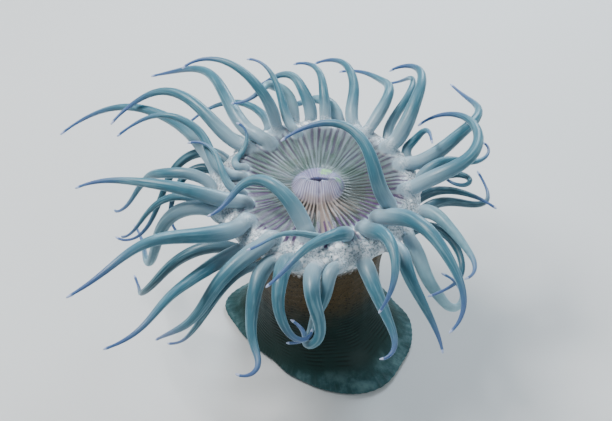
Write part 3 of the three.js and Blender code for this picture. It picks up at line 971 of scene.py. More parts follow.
@dataclass
class Skin:
    """The one soft skin of the animal."""

    form: BodyForm = field(default_factory=BodyForm)
    columns: int = 360
    band_height: float = 38.5
    band_radius: float = 14.6
    band_pitch: float = 0.36
    sole_rows: int = 6
    foot_pitch: float = 0.21
    wall_pitch: float = 0.34
    disc_pitch: float = 0.38
    mouth_pitch: float = 0.2
    flare_most: float = 0.45
    flare_share: float = 0.42
    room_least: float = 0.1
    room_most: float = 9.0
    web_full: float = 0.5
    web_reach: float = 1.2
    web_climb: float = 2.2
    root_fade: float = 2.6
    seed_step: float = 0.618
    wall_faces: int = 0
    surface: BodySurface = field(init=False)
    arms: list = field(init=False)
    seats: np.ndarray = field(init=False)
    girths: np.ndarray = field(init=False)
    mesh: SkinMesh = field(init=False)

    def build(self) -> bpy.types.Object:
        """Builds the body and the tentacles as one closed mesh.

        Returns:
            The skin object.
        """
        self.surface = BodySurface(self.form, Relief(self.form))
        self.arms = [Arm(pose, self.form) for pose in ARM_POSES]
        self.seats = np.array([arm.seat for arm in self.arms])
        self.girths = np.array([arm.pose.girth for arm in self.arms])
        self.share_room()
        self.mesh = SkinMesh()
        mouths = self.build_body()
        for arm, mouth in zip(self.arms, mouths):
            self.build_arm(arm, mouth)
        skin = self.mesh.build("skin")
        self.check(skin)
        finishes = np.zeros(len(skin.data.polygons), np.int32)
        finishes[:self.wall_faces] = 1
        for flesh in (LivingFlesh().material("crown flesh"), ColumnFlesh().material("column flesh")):
            skin.data.materials.append(flesh)
        skin.data.polygons.foreach_set("material_index", finishes)
        return skin

    def share_room(self) -> None:
        """Gives each tentacle a flared root as wide as its neighbours leave room for."""
        apart = np.linalg.norm(self.seats[:, None] - self.seats[None], axis=2)
        gap = apart - self.girths[:, None] - self.girths[None]
        np.fill_diagonal(gap, self.room_most)
        for arm, room in zip(self.arms, gap.min(1)):
            free = self.flare_share * max(room, self.room_least)
            arm.flare = arm.pose.girth + min(self.flare_most * arm.pose.girth, free)

    def build_body(self) -> list:
        """Builds the body and returns the ring of point numbers round each opening."""
        form = self.form
        low_run, middle = form.run_up_to(self.band_height), form.run_up_to(form.waist)
        inner = form.run > form.run_at(form.shoulder, form.crown)
        nearest = np.argmin(np.abs(form.line[inner, 0] - self.band_radius))
        high_run = float(form.run[inner][nearest])
        edge, end = form.foot_run(), float(form.run[-1])
        lips = form.run_at(form.lip_base + 1.0, form.disc + 0.2)
        lower = np.concatenate([
            np.linspace(3.0, edge - 1.4, self.sole_rows),
            np.arange(edge - 1.1, middle, self.foot_pitch),
            np.linspace(middle, low_run, int((low_run - middle) / self.wall_pitch)),
        ])
        upper = np.concatenate([
            np.linspace(high_run, lips, int((lips - high_run) / self.disc_pitch)),
            np.arange(lips + self.mouth_pitch, end - 0.35, self.mouth_pitch),
        ])
        white = form.run_at(form.collar_radius, form.collar_height)
        self.wall_faces = self.columns * int((lower < white).sum())
        spin = np.linspace(-math.pi, math.pi, self.columns, endpoint=False)
        rows = [self.body_row(spin, run) for run in lower]
        base = self.body_points(np.zeros(1), np.zeros(1))
        self.mesh.fan(rows[0], base, upward=False)
        tops = [self.body_row(spin, run) for run in upper]
        for group in (rows, tops):
            for a, b in zip(group[:-1], group[1:]):
                self.mesh.strip(a, b)
        crown = self.body_points(np.zeros(1), np.array([end]))
        self.mesh.fan(tops[-1], crown, upward=True)
        return self.build_band(spin, rows[-1], tops[0], low_run, high_run)

    def body_row(self, spin: np.ndarray, run: float) -> np.ndarray:
        """Adds one closed row of body points and returns their numbers."""
        first = self.body_points(spin, np.full(len(spin), run))
        return np.arange(first, first + len(spin))

    def body_points(self, spin: np.ndarray, run: np.ndarray) -> int:
        """Adds body points with their masks and returns the number of the first."""
        points, masks = self.surface.finished(spin, run)
        return self.mesh.add(points, arm=0.0, share=0.0, side_x=0.0, side_y=0.0, tone=0.5,
                             seed=0.0, web=self.web(points), **masks)

    def web(self, points: np.ndarray) -> np.ndarray:
        """How near points lie to the roots of tentacles, from 0 to 1.

        Args:
            points: places in millimetres.

        Returns:
            The nearness of each point.
        """
        away = np.linalg.norm(points[:, None] - self.seats[None], axis=2) - self.girths
        near = np.exp(-np.maximum(away, 0.0) / self.web_reach).sum(1)
        return np.minimum(1.0, self.web_full * near)

    def build_band(self, spin: np.ndarray, low: np.ndarray, high: np.ndarray,
                   low_run: float, high_run: float) -> list:
        """Triangulates the band of the crown round the openings.

        Args:
            spin: directions of the columns.
            low: point numbers of the row under the band.
            high: point numbers of the row above it.
            low_run: distance of the low row along the outline.
            high_run: distance of the high row.

        Returns:
            The ring of point numbers round each opening.
        """
        inner = self.band_radius
        outer = inner + high_run - low_run
        known = [*low.tolist(), *high.tolist()]
        flat = [np.stack([rho * np.cos(spin), rho * np.sin(spin)], 1) for rho in (outer, inner)]
        loops = [np.arange(len(spin)), np.arange(len(spin)) + len(spin)]
        total = 2 * len(spin)
        openings = []
        for arm in self.arms:
            rho = inner + high_run - arm.run
            real = float(self.form.read(np.array([arm.run]))[0][0])
            turn = np.linspace(0.0, 2 * math.pi, arm.sides, endpoint=False)
            side = arm.flare * np.cos(turn) * rho / real
            out = rho - arm.flare * np.sin(turn)
            x = out * math.cos(arm.spin) - side * math.sin(arm.spin)
            y = out * math.sin(arm.spin) + side * math.cos(arm.spin)
            openings.append((rho, real, arm))
            flat.append(np.stack([x, y], 1))
            loops.append(np.arange(arm.sides) + total)
            total += arm.sides
        fill = self.fill(openings, inner, outer, high_run)
        flat = np.concatenate([*flat, fill])
        edges = [(int(a), int(b)) for loop in loops for a, b in zip(loop, np.roll(loop, -1))]
        made = delaunay_2d_cdt([Vector(p) for p in flat.tolist()], edges, [], 0, 1e-6, True)
        origin = [ids[0] for ids in made[3]]
        fresh = flat[2 * len(spin):]
        rho = np.hypot(fresh[:, 0], fresh[:, 1])
        first = self.body_points(np.arctan2(fresh[:, 1], fresh[:, 0]), high_run + inner - rho)
        numbers = known + list(range(first, first + len(fresh)))
        owner = np.full(len(flat), -1)
        for at, loop in enumerate(loops):
            owner[loop] = at
        for face in made[2]:
            corners = [origin[i] for i in face]
            owners = {int(owner[i]) for i in corners}
            inside = len(owners) == 1 and owners.pop() > 0
            if not inside:
                self.mesh.faces.append([numbers[i] for i in corners])
        return [np.array([numbers[i] for i in loop]) for loop in loops[2:]]

    def fill(self, openings: list, inner: float, outer: float, high_run: float) -> np.ndarray:
        """Even points that fill the band between the openings.

        Args:
            openings: the middle of each in the flat band, the real radius there, and its tentacle.
            inner: radius of the flat band's inner edge.
            outer: radius of its outer edge.
            high_run: distance of the inner edge along the outline.

        Returns:
            Flat places, kept clear of the openings.
        """
        rings = []
        levels = np.arange(inner + self.band_pitch, outer - 0.6 * self.band_pitch, self.band_pitch)
        for row, rho in enumerate(levels):
            real = float(self.form.read(np.array([high_run + inner - rho]))[0][0])
            count = int(2 * math.pi * real / self.band_pitch)
            spin = (np.arange(count) + 0.5 * (row % 2)) * 2 * math.pi / count
            rings.append(np.stack([rho * np.cos(spin), rho * np.sin(spin)], 1))
        points = np.concatenate(rings)
        keep = np.ones(len(points), bool)
        for rho, real, arm in openings:
            out = points[:, 0] * math.cos(arm.spin) + points[:, 1] * math.sin(arm.spin) - rho
            side = -points[:, 0] * math.sin(arm.spin) + points[:, 1] * math.cos(arm.spin)
            keep &= np.hypot(out, side * real / rho) > arm.flare + 0.45 * self.band_pitch
        return points[keep]

    def build_arm(self, arm: Arm, mouth: np.ndarray) -> None:
        """Adds one tentacle that grows from its opening.

        Args:
            arm: the tentacle.
            mouth: the point numbers of its opening.
        """
        start = np.concatenate(self.mesh.points)[mouth]
        rings, cap, share, height = arm.tube(start)
        turn = np.linspace(0.0, 2 * math.pi, arm.sides, endpoint=False)
        arm_mask = smooth_step(height, 0.0, self.root_fade)
        web = self.web_full * np.exp(-height / self.web_climb)
        seed = (arm.pose.growth * self.seed_step) % 1.0
        last = mouth
        for at in range(1, len(rings)):
            first = self.mesh.add(rings[at], arm=arm_mask[at], share=share[at], side_x=np.cos(turn),
                                  side_y=np.sin(turn), tone=arm.pose.tone, seed=seed, web=web[at],
                                  wart=0.0, line=0.0, fold=0.0)
            ring = np.arange(first, first + arm.sides)
            self.mesh.strip(last, ring)
            last = ring
        tip = self.mesh.add(cap[None], arm=1.0, share=1.0, side_x=0.0, side_y=0.0, tone=arm.pose.tone,
                            seed=seed, web=0.0, wart=0.0, line=0.0, fold=0.0)
        self.mesh.fan(last, tip, upward=True)

    @staticmethod
    def check(skin: bpy.types.Object) -> None:
        """Logs whether the skin is one closed mesh.

        Args:
            skin: the skin object.
        """
        mesh = skin.data
        uses = np.zeros(len(mesh.edges), int)
        sides = np.empty(len(mesh.loops), int)
        mesh.loops.foreach_get("edge_index", sides)
        np.add.at(uses, sides, 1)
        log.info("skin: %d faces, %d edges not shared by two", len(mesh.polygons), int((uses != 2).sum()))


# ---- finishes ---------------------------------------------------------------------------


@dataclass(frozen=True)
class Colour:
    """A colour by its red, green and blue on a screen, from 0 to 255."""

    red: float
    green: float
    blue: float

    def linear(self) -> tuple:
        """The colour as light, with full alpha."""
        parts = (self.red / 255.0, self.green / 255.0, self.blue / 255.0)
        light = [v / 12.92 if v <= 0.04045 else ((v + 0.055) / 1.055) ** 2.4 for v in parts]
        return (*light, 1.0)


class Kind(Enum):
    """What a socket of an effect carries."""

    FLOAT = "NodeSocketFloat"
    VECTOR = "NodeSocketVector"


FLOAT, VECTOR = Kind.FLOAT, Kind.VECTOR


class Patch:
    """Lays shader nodes in one tree, with short calls for the steps that a finish is made of."""

    def __init__(self, tree: bpy.types.NodeTree) -> None:
        """Keeps the tree to lay nodes in."""
        self.tree = tree

    def node(self, kind: str, **settings: object) -> bpy.types.Node:
        """Adds one node.

        Args:
            kind: the node's type.
            settings: properties to set on it.

        Returns:
            The new node.
        """
        made = self.tree.nodes.new(kind)
        for name, value in settings.items():
            setattr(made, name, value)
        return made

    def feed(self, value: object, socket: bpy.types.NodeSocket) -> None:
        """Links a socket, or sets a number or colour on it."""
        if isinstance(value, bpy.types.NodeSocket):
            self.tree.links.new(value, socket)
        else:
            socket.default_value = value

    def math(self, operation: str, *values: object) -> bpy.types.NodeSocket:
        """One step of arithmetic.

        Args:
            operation: what to do.
            values: sockets or numbers.

        Returns:
            The result.
        """
        made = self.node("ShaderNodeMath", operation=operation)
        for value, socket in zip(values, made.inputs):
            self.feed(value, socket)
        return made.outputs[0]

    def span(self, value: object, low: float, high: float, start: float = 0.0,
             end: float = 1.0) -> bpy.types.NodeSocket:
        """Eases a value from one range to another.

        Args:
            value: the socket to read.
            low: where the rise starts.
            high: where it ends.
            start: the result at low.
            end: the result at high.

        Returns:
            The eased value.
        """
        made = self.node("ShaderNodeMapRange", interpolation_type="SMOOTHSTEP")
        for given, name in ((value, "Value"), (low, "From Min"), (high, "From Max"),
                            (start, "To Min"), (end, "To Max")):
            self.feed(given, made.inputs[name])
        return made.outputs["Result"]

    def colour(self, low: object, high: object, share: object) -> bpy.types.NodeSocket:
        """Mixes two colours.

        Args:
            low: the colour at share 0.
            high: the colour at share 1.
            share: how far to go.

        Returns:
            The mixed colour.
        """
        made = self.node("ShaderNodeMix", data_type="RGBA")
        for value, socket in ((share, made.inputs[0]), (low, made.inputs[6]), (high, made.inputs[7])):
            self.feed(value.linear() if isinstance(value, Colour) else value, socket)
        return made.outputs[2]

    def product(self, *masks: object) -> bpy.types.NodeSocket:
        """Multiplies masks and numbers, from the left."""
        whole = masks[0]
        for mask in masks[1:]:
            whole = self.math("MULTIPLY", whole, mask)
        return whole

    def over(self, base: object, paint: object, *masks: object) -> bpy.types.NodeSocket:
        """Lays one colour over another as far as all the masks and numbers let it."""
        return self.colour(base, paint, self.product(*masks))

    def towards(self, turn: bpy.types.NodeSocket, degrees: float, low: float,
                high: float) -> bpy.types.NodeSocket:
        """How much a place lies in one direction.

        Args:
            turn: the direction of the place, in radians.
            degrees: the direction to look in.
            low: the cosine of the gap at which the mask starts.
            high: the cosine at which it is full.

        Returns:
            The mask.
        """
        gap = self.math("SUBTRACT", turn, math.radians(degrees))
        return self.span(self.math("COSINE", gap), low, high)

    def attribute(self, name: str) -> bpy.types.NodeSocket:
        """Reads a painted mask of the mesh."""
        return self.node("ShaderNodeAttribute", attribute_name=name).outputs["Fac"]

    def noise(self, vector: object, scale: float, detail: float = 3.0,
              rough: float = 0.55) -> bpy.types.NodeSocket:
        """A cloudy pattern.

        Args:
            vector: where to read it.
            scale: how fine it is, in waves for each unit of the vector.
            detail: how many finer layers it has.
            rough: how strong those are.

        Returns:
            The pattern, about 0.5 in the middle.
        """
        made = self.node("ShaderNodeTexNoise")
        for given, name in ((vector, "Vector"), (scale, "Scale"), (detail, "Detail"), (rough, "Roughness")):
            self.feed(given, made.inputs[name])
        return made.outputs["Fac"]

    def vector(self, x: object, y: object, z: object) -> bpy.types.NodeSocket:
        """Joins three numbers."""
        made = self.node("ShaderNodeCombineXYZ")
        for value, socket in zip((x, y, z), made.inputs):
            self.feed(value, socket)
        return made.outputs[0]


class Effect:
    """A shader effect kept as a node group with named inputs and outputs."""

    name = "effect"
    inputs: tuple = ()
    outputs: tuple = ()

    def group(self) -> bpy.types.NodeTree:
        """Gives the node group, built on the first call."""
        known = bpy.data.node_groups.get(self.name)
        if known:
            return known
        tree = bpy.data.node_groups.new(self.name, "ShaderNodeTree")
        for name, kind, value in self.inputs:
            socket = tree.interface.new_socket(name=name, in_out="INPUT", socket_type=kind.value)
            if value is not None:
                socket.default_value = value
        for name, kind in self.outputs:
            tree.interface.new_socket(name=name, in_out="OUTPUT", socket_type=kind.value)
        patch = Patch(tree)
        given = patch.node("NodeGroupInput").outputs
        taken = patch.node("NodeGroupOutput").inputs
        self.lay(patch, given, taken)
        return tree

    def lay(self, patch: Patch, given: object, taken: object) -> None:
        """Lays the nodes of the effect between its inputs and outputs."""
        raise NotImplementedError

    def use(self, patch: Patch, **values: object) -> object:
        """Places the effect in a material.

        Args:
            patch: the tree to lay it in.
            values: its inputs by name, with _ for a space.

        Returns:
            Its outputs.
        """
        made = patch.node("ShaderNodeGroup", node_tree=self.group())
        for name, value in values.items():
            patch.feed(value, made.inputs[name.replace("_", " ")])
        return made.outputs


class RoundBody(Effect):
    """Direction, radius and height of a place on the body, in millimetres."""

    name = "round body"
    outputs = (("Turn", FLOAT), ("Radius", FLOAT), ("Height", FLOAT), ("Round", VECTOR), ("Place", VECTOR))

    def lay(self, patch: Patch, given: object, taken: object) -> None:
        """Works the place out from the object's own coordinates."""
        place = patch.node("ShaderNodeVectorMath", operation="SCALE")
        patch.feed(patch.node("ShaderNodeTexCoord").outputs["Object"], place.inputs[0])
        place.inputs["Scale"].default_value = 1.0 / MM
        apart = patch.node("ShaderNodeSeparateXYZ")
        patch.feed(place.outputs[0], apart.inputs[0])
        x, y, z = apart.outputs
        turn = patch.math("ARCTAN2", y, x)
        radius = patch.math("SQRT", patch.math("ADD", patch.product(x, x), patch.product(y, y)))
        level = patch.vector(patch.math("COSINE", turn), patch.math("SINE", turn), 0.0)
        for value, name in ((turn, "Turn"), (radius, "Radius"), (z, "Height"), (level, "Round"),
                            (place.outputs[0], "Place")):
            patch.feed(value, taken[name])


class PatchyBand(Effect):
    """A band between two radii with a torn, patchy edge."""

    name = "patchy band"
    inputs = (("Radius", FLOAT, 0.0), ("Place", VECTOR, None), ("Low", FLOAT, 15.0), ("High", FLOAT, 20.0),
              ("Soft", FLOAT, 1.5), ("Fine", FLOAT, 0.3), ("Torn", FLOAT, 3.0))
    outputs = (("Mask", FLOAT),)

    def lay(self, patch: Patch, given: object, taken: object) -> None:
        """Shifts the radius by a noise and keeps what lies between the two."""
        torn = patch.noise(given["Place"], given["Fine"], 3.0)
        shift = patch.product(patch.math("SUBTRACT", torn, 0.5), given["Torn"])
        radius = patch.math("ADD", given["Radius"], shift)
        rise = patch.span(radius, patch.math("SUBTRACT", given["Low"], given["Soft"]), given["Low"])
        fall = patch.span(radius, patch.math("ADD", given["High"], given["Soft"]), given["High"])
        patch.feed(patch.product(rise, fall), taken["Mask"])


class RadialStreaks(Effect):
    """Uneven streaks that run out from the mouth over the disc."""

    name = "radial streaks"
    inputs = (("Round", VECTOR, None), ("Radius", FLOAT, 0.0), ("Fine", FLOAT, 24.0), ("Drift", FLOAT, 0.16))
    outputs = (("Streaks", FLOAT),)

    def lay(self, patch: Patch, given: object, taken: object) -> None:
        """Reads a noise that changes fast round the disc and slowly outwards."""
        wide = patch.node("ShaderNodeVectorMath", operation="SCALE")
        patch.feed(given["Round"], wide.inputs[0])
        patch.feed(given["Fine"], wide.inputs["Scale"])
        apart = patch.node("ShaderNodeSeparateXYZ")
        patch.feed(wide.outputs[0], apart.inputs[0])
        out = patch.product(given["Radius"], given["Drift"])
        place = patch.vector(apart.outputs[0], apart.outputs[1], out)
        patch.feed(patch.noise(place, 1.0, 2.0), taken["Streaks"])


class Fibres(Effect):
    """Fine streaks that run along a tentacle, with slow patches of colour."""

    name = "lengthwise fibres"
    inputs = (("Side X", FLOAT, 0.0), ("Side Y", FLOAT, 0.0), ("Share", FLOAT, 0.0), ("Seed", FLOAT, 0.0),
              ("Fine", FLOAT, 3.0))
    outputs = (("Streaks", FLOAT), ("Patches", FLOAT))

    def lay(self, patch: Patch, given: object, taken: object) -> None:
        """Reads a noise that is stretched along the tentacle."""
        across_x = patch.product(given["Side X"], given["Fine"])
        across_y = patch.product(given["Side Y"], given["Fine"])
        seeded = patch.product(given["Seed"], 40.0)
        along = patch.math("ADD", patch.product(given["Share"], 5.0), seeded)
        patch.feed(patch.noise(patch.vector(across_x, across_y, along), 1.0, 3.0), taken["Streaks"])
        slow = patch.math("ADD", patch.product(given["Share"], 9.0), seeded)
        around = patch.product(given["Side X"], 0.5)
        patch.feed(patch.noise(patch.vector(around, 0.0, slow), 1.0, 2.0), taken["Patches"])


class Speckle(Effect):
    """Small spots scattered over the skin."""

    name = "speckle"
    inputs = (("Place", VECTOR, None), ("Fine", FLOAT, 1.0), ("Size", FLOAT, 0.25), ("Soft", FLOAT, 0.12))
    outputs = (("Mask", FLOAT),)

    def lay(self, patch: Patch, given: object, taken: object) -> None:
        """Measures how far a place is from the middle of its cell."""
        cells = patch.node("ShaderNodeTexVoronoi", feature="F1")
        patch.feed(given["Place"], cells.inputs["Vector"])
        patch.feed(given["Fine"], cells.inputs["Scale"])
        far = patch.math("ADD", given["Size"], given["Soft"])
        patch.feed(patch.span(cells.outputs["Distance"], given["Size"], far, 1.0, 0.0), taken["Mask"])


@dataclass(frozen=True)
class LivingFlesh:
    """The wet, translucent skin of the crown. The column's finish takes its colours from it."""

    tentacle: Colour = Colour(62, 110, 126)
    # Dark teal: painted shade on tentacles of low tone, and also the tentacles' own darker patches.
    tentacle_dark_and_shade: Colour = Colour(26, 66, 80)
    tentacle_pale: Colour = Colour(140, 178, 188)
    root: Colour = Colour(156, 178, 190)
    # Near-white where the tentacle roots crowd together: partly the tissue's own white, partly a painted
    # glow.
    crevice_white_and_glow: Colour = Colour(246, 246, 250)
    tip: Colour = Colour(76, 94, 142)
    bulb: Colour = Colour(180, 186, 222)
    groove: Colour = Colour(34, 44, 42)
    ridge: Colour = Colour(92, 110, 112)
    disc_green: Colour = Colour(62, 92, 76)
    shade: Colour = Colour(30, 34, 26)
    margin: Colour = Colour(120, 126, 142)
    mark: Colour = Colour(62, 18, 80)
    peach: Colour = Colour(146, 130, 122)
    peach_dark: Colour = Colour(42, 34, 30)
    lip: Colour = Colour(168, 166, 188)
    lip_shade: Colour = Colour(96, 84, 132)
    glint: Colour = Colour(140, 208, 120)
    throat: Colour = Colour(104, 98, 112)
    speck: Colour = Colour(60, 66, 64)
    collar: Colour = Colour(214, 222, 228)
    collar_shade: Colour = Colour(122, 142, 152)
    collar_wart: Colour = Colour(246, 250, 252)
    column: Colour = Colour(62, 50, 26)
    ochre: Colour = Colour(98, 74, 38)
    column_low: Colour = Colour(6, 28, 25)
    foot: Colour = Colour(12, 42, 38)
    foot_pale: Colour = Colour(32, 62, 58)
    foot_edge: Colour = Colour(46, 82, 86)
    foot_wash: Colour = Colour(104, 136, 136)
    stria: Colour = Colour(92, 118, 122)
    spot: Colour = Colour(6, 8, 6)
    roughness: float = 0.4
    depth: tuple = (1.2 * MM, 1.8 * MM, 2.0 * MM)
    inner_glow: float = 0.5
    bend_of_light: float = 1.38
    sheen: float = 1.0
    sheen_roughness: float = 0.25
    sheen_tint: Colour = Colour(170, 212, 232)
    coat: float = 0.12
    coat_roughness: float = 0.2
    gloss: float = 0.5
    bump_depth: float = 0.14
    bump_strength: float = 0.7

    def material(self, name: str) -> bpy.types.Material:
        """Builds the material.

        Args:
            name: what to call it.

        Returns:
            The material.
        """
        made = bpy.data.materials.new(name)
        made.use_nodes = True
        made.node_tree.nodes.clear()
        patch = Patch(made.node_tree)
        body = RoundBody().use(patch)
        arm, share = patch.attribute("arm"), patch.attribute("share")
        flesh, bumps, marks = self.body_colour(patch, body)
        feeler, ridges = self.arm_colour(patch, share)
        web = patch.attribute("web")
        high = patch.span(body["Height"], 37.0, 42.0)
        inward = patch.span(body["Radius"], 23.0, 21.0, 0.3, 1.0)
        flesh = patch.over(flesh, self.root, patch.span(web, 0.2, 0.5), high, inward, 0.85)
        # Near-white close to the roots, partly painted glow.
        flesh = patch.over(flesh, self.crevice_white_and_glow, patch.span(web, 0.52, 0.72), high, 0.9)
        flesh = patch.over(flesh, self.mark, marks, 0.9)
        colour = patch.colour(flesh, feeler, arm)
        shader = patch.node("ShaderNodeBsdfPrincipled")
        patch.feed(colour, shader.inputs["Base Color"])
        patch.feed(patch.span(bumps, 0.3, 0.9, self.roughness + 0.08, self.roughness - 0.06),
                   shader.inputs["Roughness"])
        for value, socket in ((self.bend_of_light, "IOR"), (self.inner_glow, "Subsurface Weight"),
                              (self.depth, "Subsurface Radius"), (1.0, "Subsurface Scale"),
                              (self.sheen, "Sheen Weight"), (self.sheen_roughness, "Sheen Roughness"),
                              (self.sheen_tint.linear(), "Sheen Tint"),
                              (self.coat, "Coat Weight"), (self.coat_roughness, "Coat Roughness"),
                              (self.gloss, "Specular IOR Level")):
            shader.inputs[socket].default_value = value
        bump = patch.node("ShaderNodeBump")
        bump.inputs["Distance"].default_value = self.bump_depth * MM
        bump.inputs["Strength"].default_value = self.bump_strength
        mixed = patch.node("ShaderNodeMix", data_type="FLOAT")
        for value, socket in ((arm, mixed.inputs[0]), (bumps, mixed.inputs[2]), (ridges, mixed.inputs[3])):
            patch.feed(value, socket)
        patch.feed(mixed.outputs[0], bump.inputs["Height"])
        patch.feed(bump.outputs[0], shader.inputs["Normal"])
        out = patch.node("ShaderNodeOutputMaterial")
        patch.feed(shader.outputs[0], out.inputs["Surface"])
        return made

    def arm_colour(self, patch: Patch, share: bpy.types.NodeSocket) -> tuple:
        """Colour and relief of the tentacles.

        Args:
            patch: the tree to lay nodes in.
            share: the share of a tentacle's length.

        Returns:
            The colour and the height of the fine relief.
        """
        tone = patch.attribute("tone")
        fibres = Fibres().use(patch, Side_X=patch.attribute("side_x"), Side_Y=patch.attribute("side_y"),
                              Share=share, Seed=patch.attribute("seed"), Fine=2.4)
        # Painted shade: a low tone darkens the whole tentacle.
        dark = patch.colour(self.tentacle_dark_and_shade, self.tentacle, patch.span(tone, 0.0, 0.5))
        base = patch.colour(dark, self.tentacle_pale, patch.span(tone, 0.5, 1.0, 0.0, 0.8))
        streaks = patch.span(fibres["Streaks"], 0.45, 0.72, 0.0, 0.42)
        base = patch.colour(base, self.tentacle_pale, streaks)
        patches = patch.span(fibres["Patches"], 0.45, 0.75, 0.0, 0.3)
        base = patch.colour(base, self.tentacle_dark_and_shade, patches)
        # A low tone also dims the pale root, as painted shade.
        rooty, pale = patch.span(share, 0.02, 0.34, 0.85, 0.0), patch.span(tone, 0.1, 0.5, 0.2, 1.0)
        base = patch.over(base, self.root, rooty, pale)
        base = patch.colour(base, self.tip, patch.span(share, 0.62, 0.92, 0.0, 0.8))
        base = patch.colour(base, self.bulb, patch.span(share, 0.965, 0.985, 0.0, 0.9))
        return base, fibres["Streaks"]

    def body_colour(self, patch: Patch, body: object) -> tuple:
        """Colour and relief of the foot, the column, the disc and the lips.

        Args:
            patch: the tree to lay nodes in.
            body: direction, radius and height of the place.

        Returns:
            The colour, the height of the fine relief and how far each place is a purple mark.
        """
        place, height, radius = body["Place"], body["Height"], body["Radius"]
        clouds = patch.noise(place, 0.28, 4.0)
        grain = patch.noise(place, 2.2, 4.0, 0.6)
        streaks = RadialStreaks().use(patch, Round=body["Round"], Radius=radius)["Streaks"]
        wall = self.wall_colour(patch, body, clouds, grain)
        top = self.top_colour(patch, body, clouds, grain, streaks)
        band = PatchyBand().use(patch, Radius=radius, Place=place, Low=12.6, High=20.0, Soft=1.4,
                                Fine=0.4, Torn=8.0)["Mask"]
        front = patch.towards(body["Turn"], -90.0, -0.6, 0.5)
        torn = patch.math("MAXIMUM", patch.span(streaks, 0.64, 0.5), patch.span(front, 0.2, 1.0, 0.0, 0.8))
        grooves = patch.span(patch.attribute("line"), 0.1, -0.4)
        marks = patch.product(grooves, patch.product(band, torn), patch.span(front, 0.0, 1.0, 0.5, 1.0))
        inside = patch.product(patch.span(radius, 24.3, 23.4), patch.span(height, 46.0, 47.5))
        mouth = patch.product(patch.span(radius, 7.0, 6.0), patch.span(height, 44.0, 45.0))
        flesh = patch.colour(wall, top, patch.math("MAXIMUM", inside, mouth))
        return flesh, grain, patch.product(marks, inside)

    def wall_colour(self, patch: Patch, body: object, clouds: bpy.types.NodeSocket,
                    grain: bpy.types.NodeSocket) -> bpy.types.NodeSocket:
        """Colour of the foot, the column and the collar.

        Args:
            patch: the tree to lay nodes in.
            body: direction, radius and height of the place.
            clouds: a slow cloudy pattern.
            grain: a fine one.

        Returns:
            The colour.
        """
        place, height, radius = body["Place"], body["Height"], body["Radius"]
        line, wart = patch.attribute("line"), patch.attribute("wart")
        low = patch.colour(self.column_low, self.foot, clouds)
        rise = patch.math("ADD", height, patch.product(clouds, 9.0))
        base = patch.colour(low, self.column, patch.span(rise, 19.0, 31.0))
        base = patch.over(base, self.foot_pale, patch.span(height, 12.0, 1.5), 0.45)
        crest, lower = patch.span(line, 0.0, 0.9), patch.span(height, 26.0, 12.0, 0.0, 0.3)
        base = patch.over(base, self.foot_pale, crest, lower)
        groove, lower = patch.span(line, 0.0, -0.6), patch.span(height, 34.0, 15.0, 0.25, 0.55)
        base = patch.over(base, self.spot, groove, lower)
        mottle, upper = patch.span(grain, 0.48, 0.7, 0.0, 0.6), patch.span(height, 16.0, 28.0)
        base = patch.over(base, self.ochre, mottle, upper)
        spots = Speckle().use(patch, Place=place, Fine=0.9, Size=0.16, Soft=0.14)["Mask"]
        on = patch.product(patch.span(height, 10.0, 18.0), patch.span(height, 39.0, 34.0))
        base = patch.over(base, self.spot, spots, on, 0.8)
        base = patch.over(base, self.spot, patch.span(wart, 0.3, 0.8), patch.span(height, 37.0, 33.0), 0.8)
        pale = patch.math("ADD", height, patch.product(grain, 5.0))
        cover, specked = patch.span(pale, 36.5, 41.0), patch.span(height, 36.0, 40.0, 0.0, 0.7)
        base = self.white_hem(patch, base, place, (grain, 0.36), cover, (specked, 1.3))
        beads, upper = patch.span(wart, 0.15, 0.5), patch.span(height, 33.5, 36.5)
        base = patch.over(base, self.collar_wart, beads, upper, 0.95)
        rim = patch.product(patch.span(height, 4.5, 0.8), patch.span(radius, 17.0, 20.5),
                            patch.span(clouds, 0.3, 0.6, 0.4, 1.0))
        base = patch.colour(base, self.foot_edge, rim)
        base = patch.over(base, self.foot_wash, rim, patch.span(clouds, 0.46, 0.72, 0.0, 0.6))
        return patch.over(base, self.stria, patch.span(patch.attribute("fold"), 0.1, 0.9), 0.25)

    def white_hem(self, patch: Patch, base: bpy.types.NodeSocket, place: bpy.types.NodeSocket,
                  mottle: tuple, cover: bpy.types.NodeSocket, specks: tuple) -> bpy.types.NodeSocket:
        """Lays the mottled white of the collar over a colour, with fine dark specks.

        Args:
            patch: the tree to lay nodes in.
            base: the colour under it.
            place: where on the body, in millimetres.
            mottle: a fine pattern, and the value in it at which the white starts.
            cover: how far the white covers what is under it.
            specks: how strong the specks are, and how close they stand.

        Returns:
            The colour.
        """
        grain, start = mottle
        strength, fine = specks
        hem = patch.colour(self.collar_shade, self.collar, patch.span(grain, start, start + 0.2))
        base = patch.colour(base, hem, cover)
        dots = Speckle().use(patch, Place=place, Fine=fine, Size=0.1, Soft=0.16)["Mask"]
        return patch.over(base, self.speck, dots, strength)

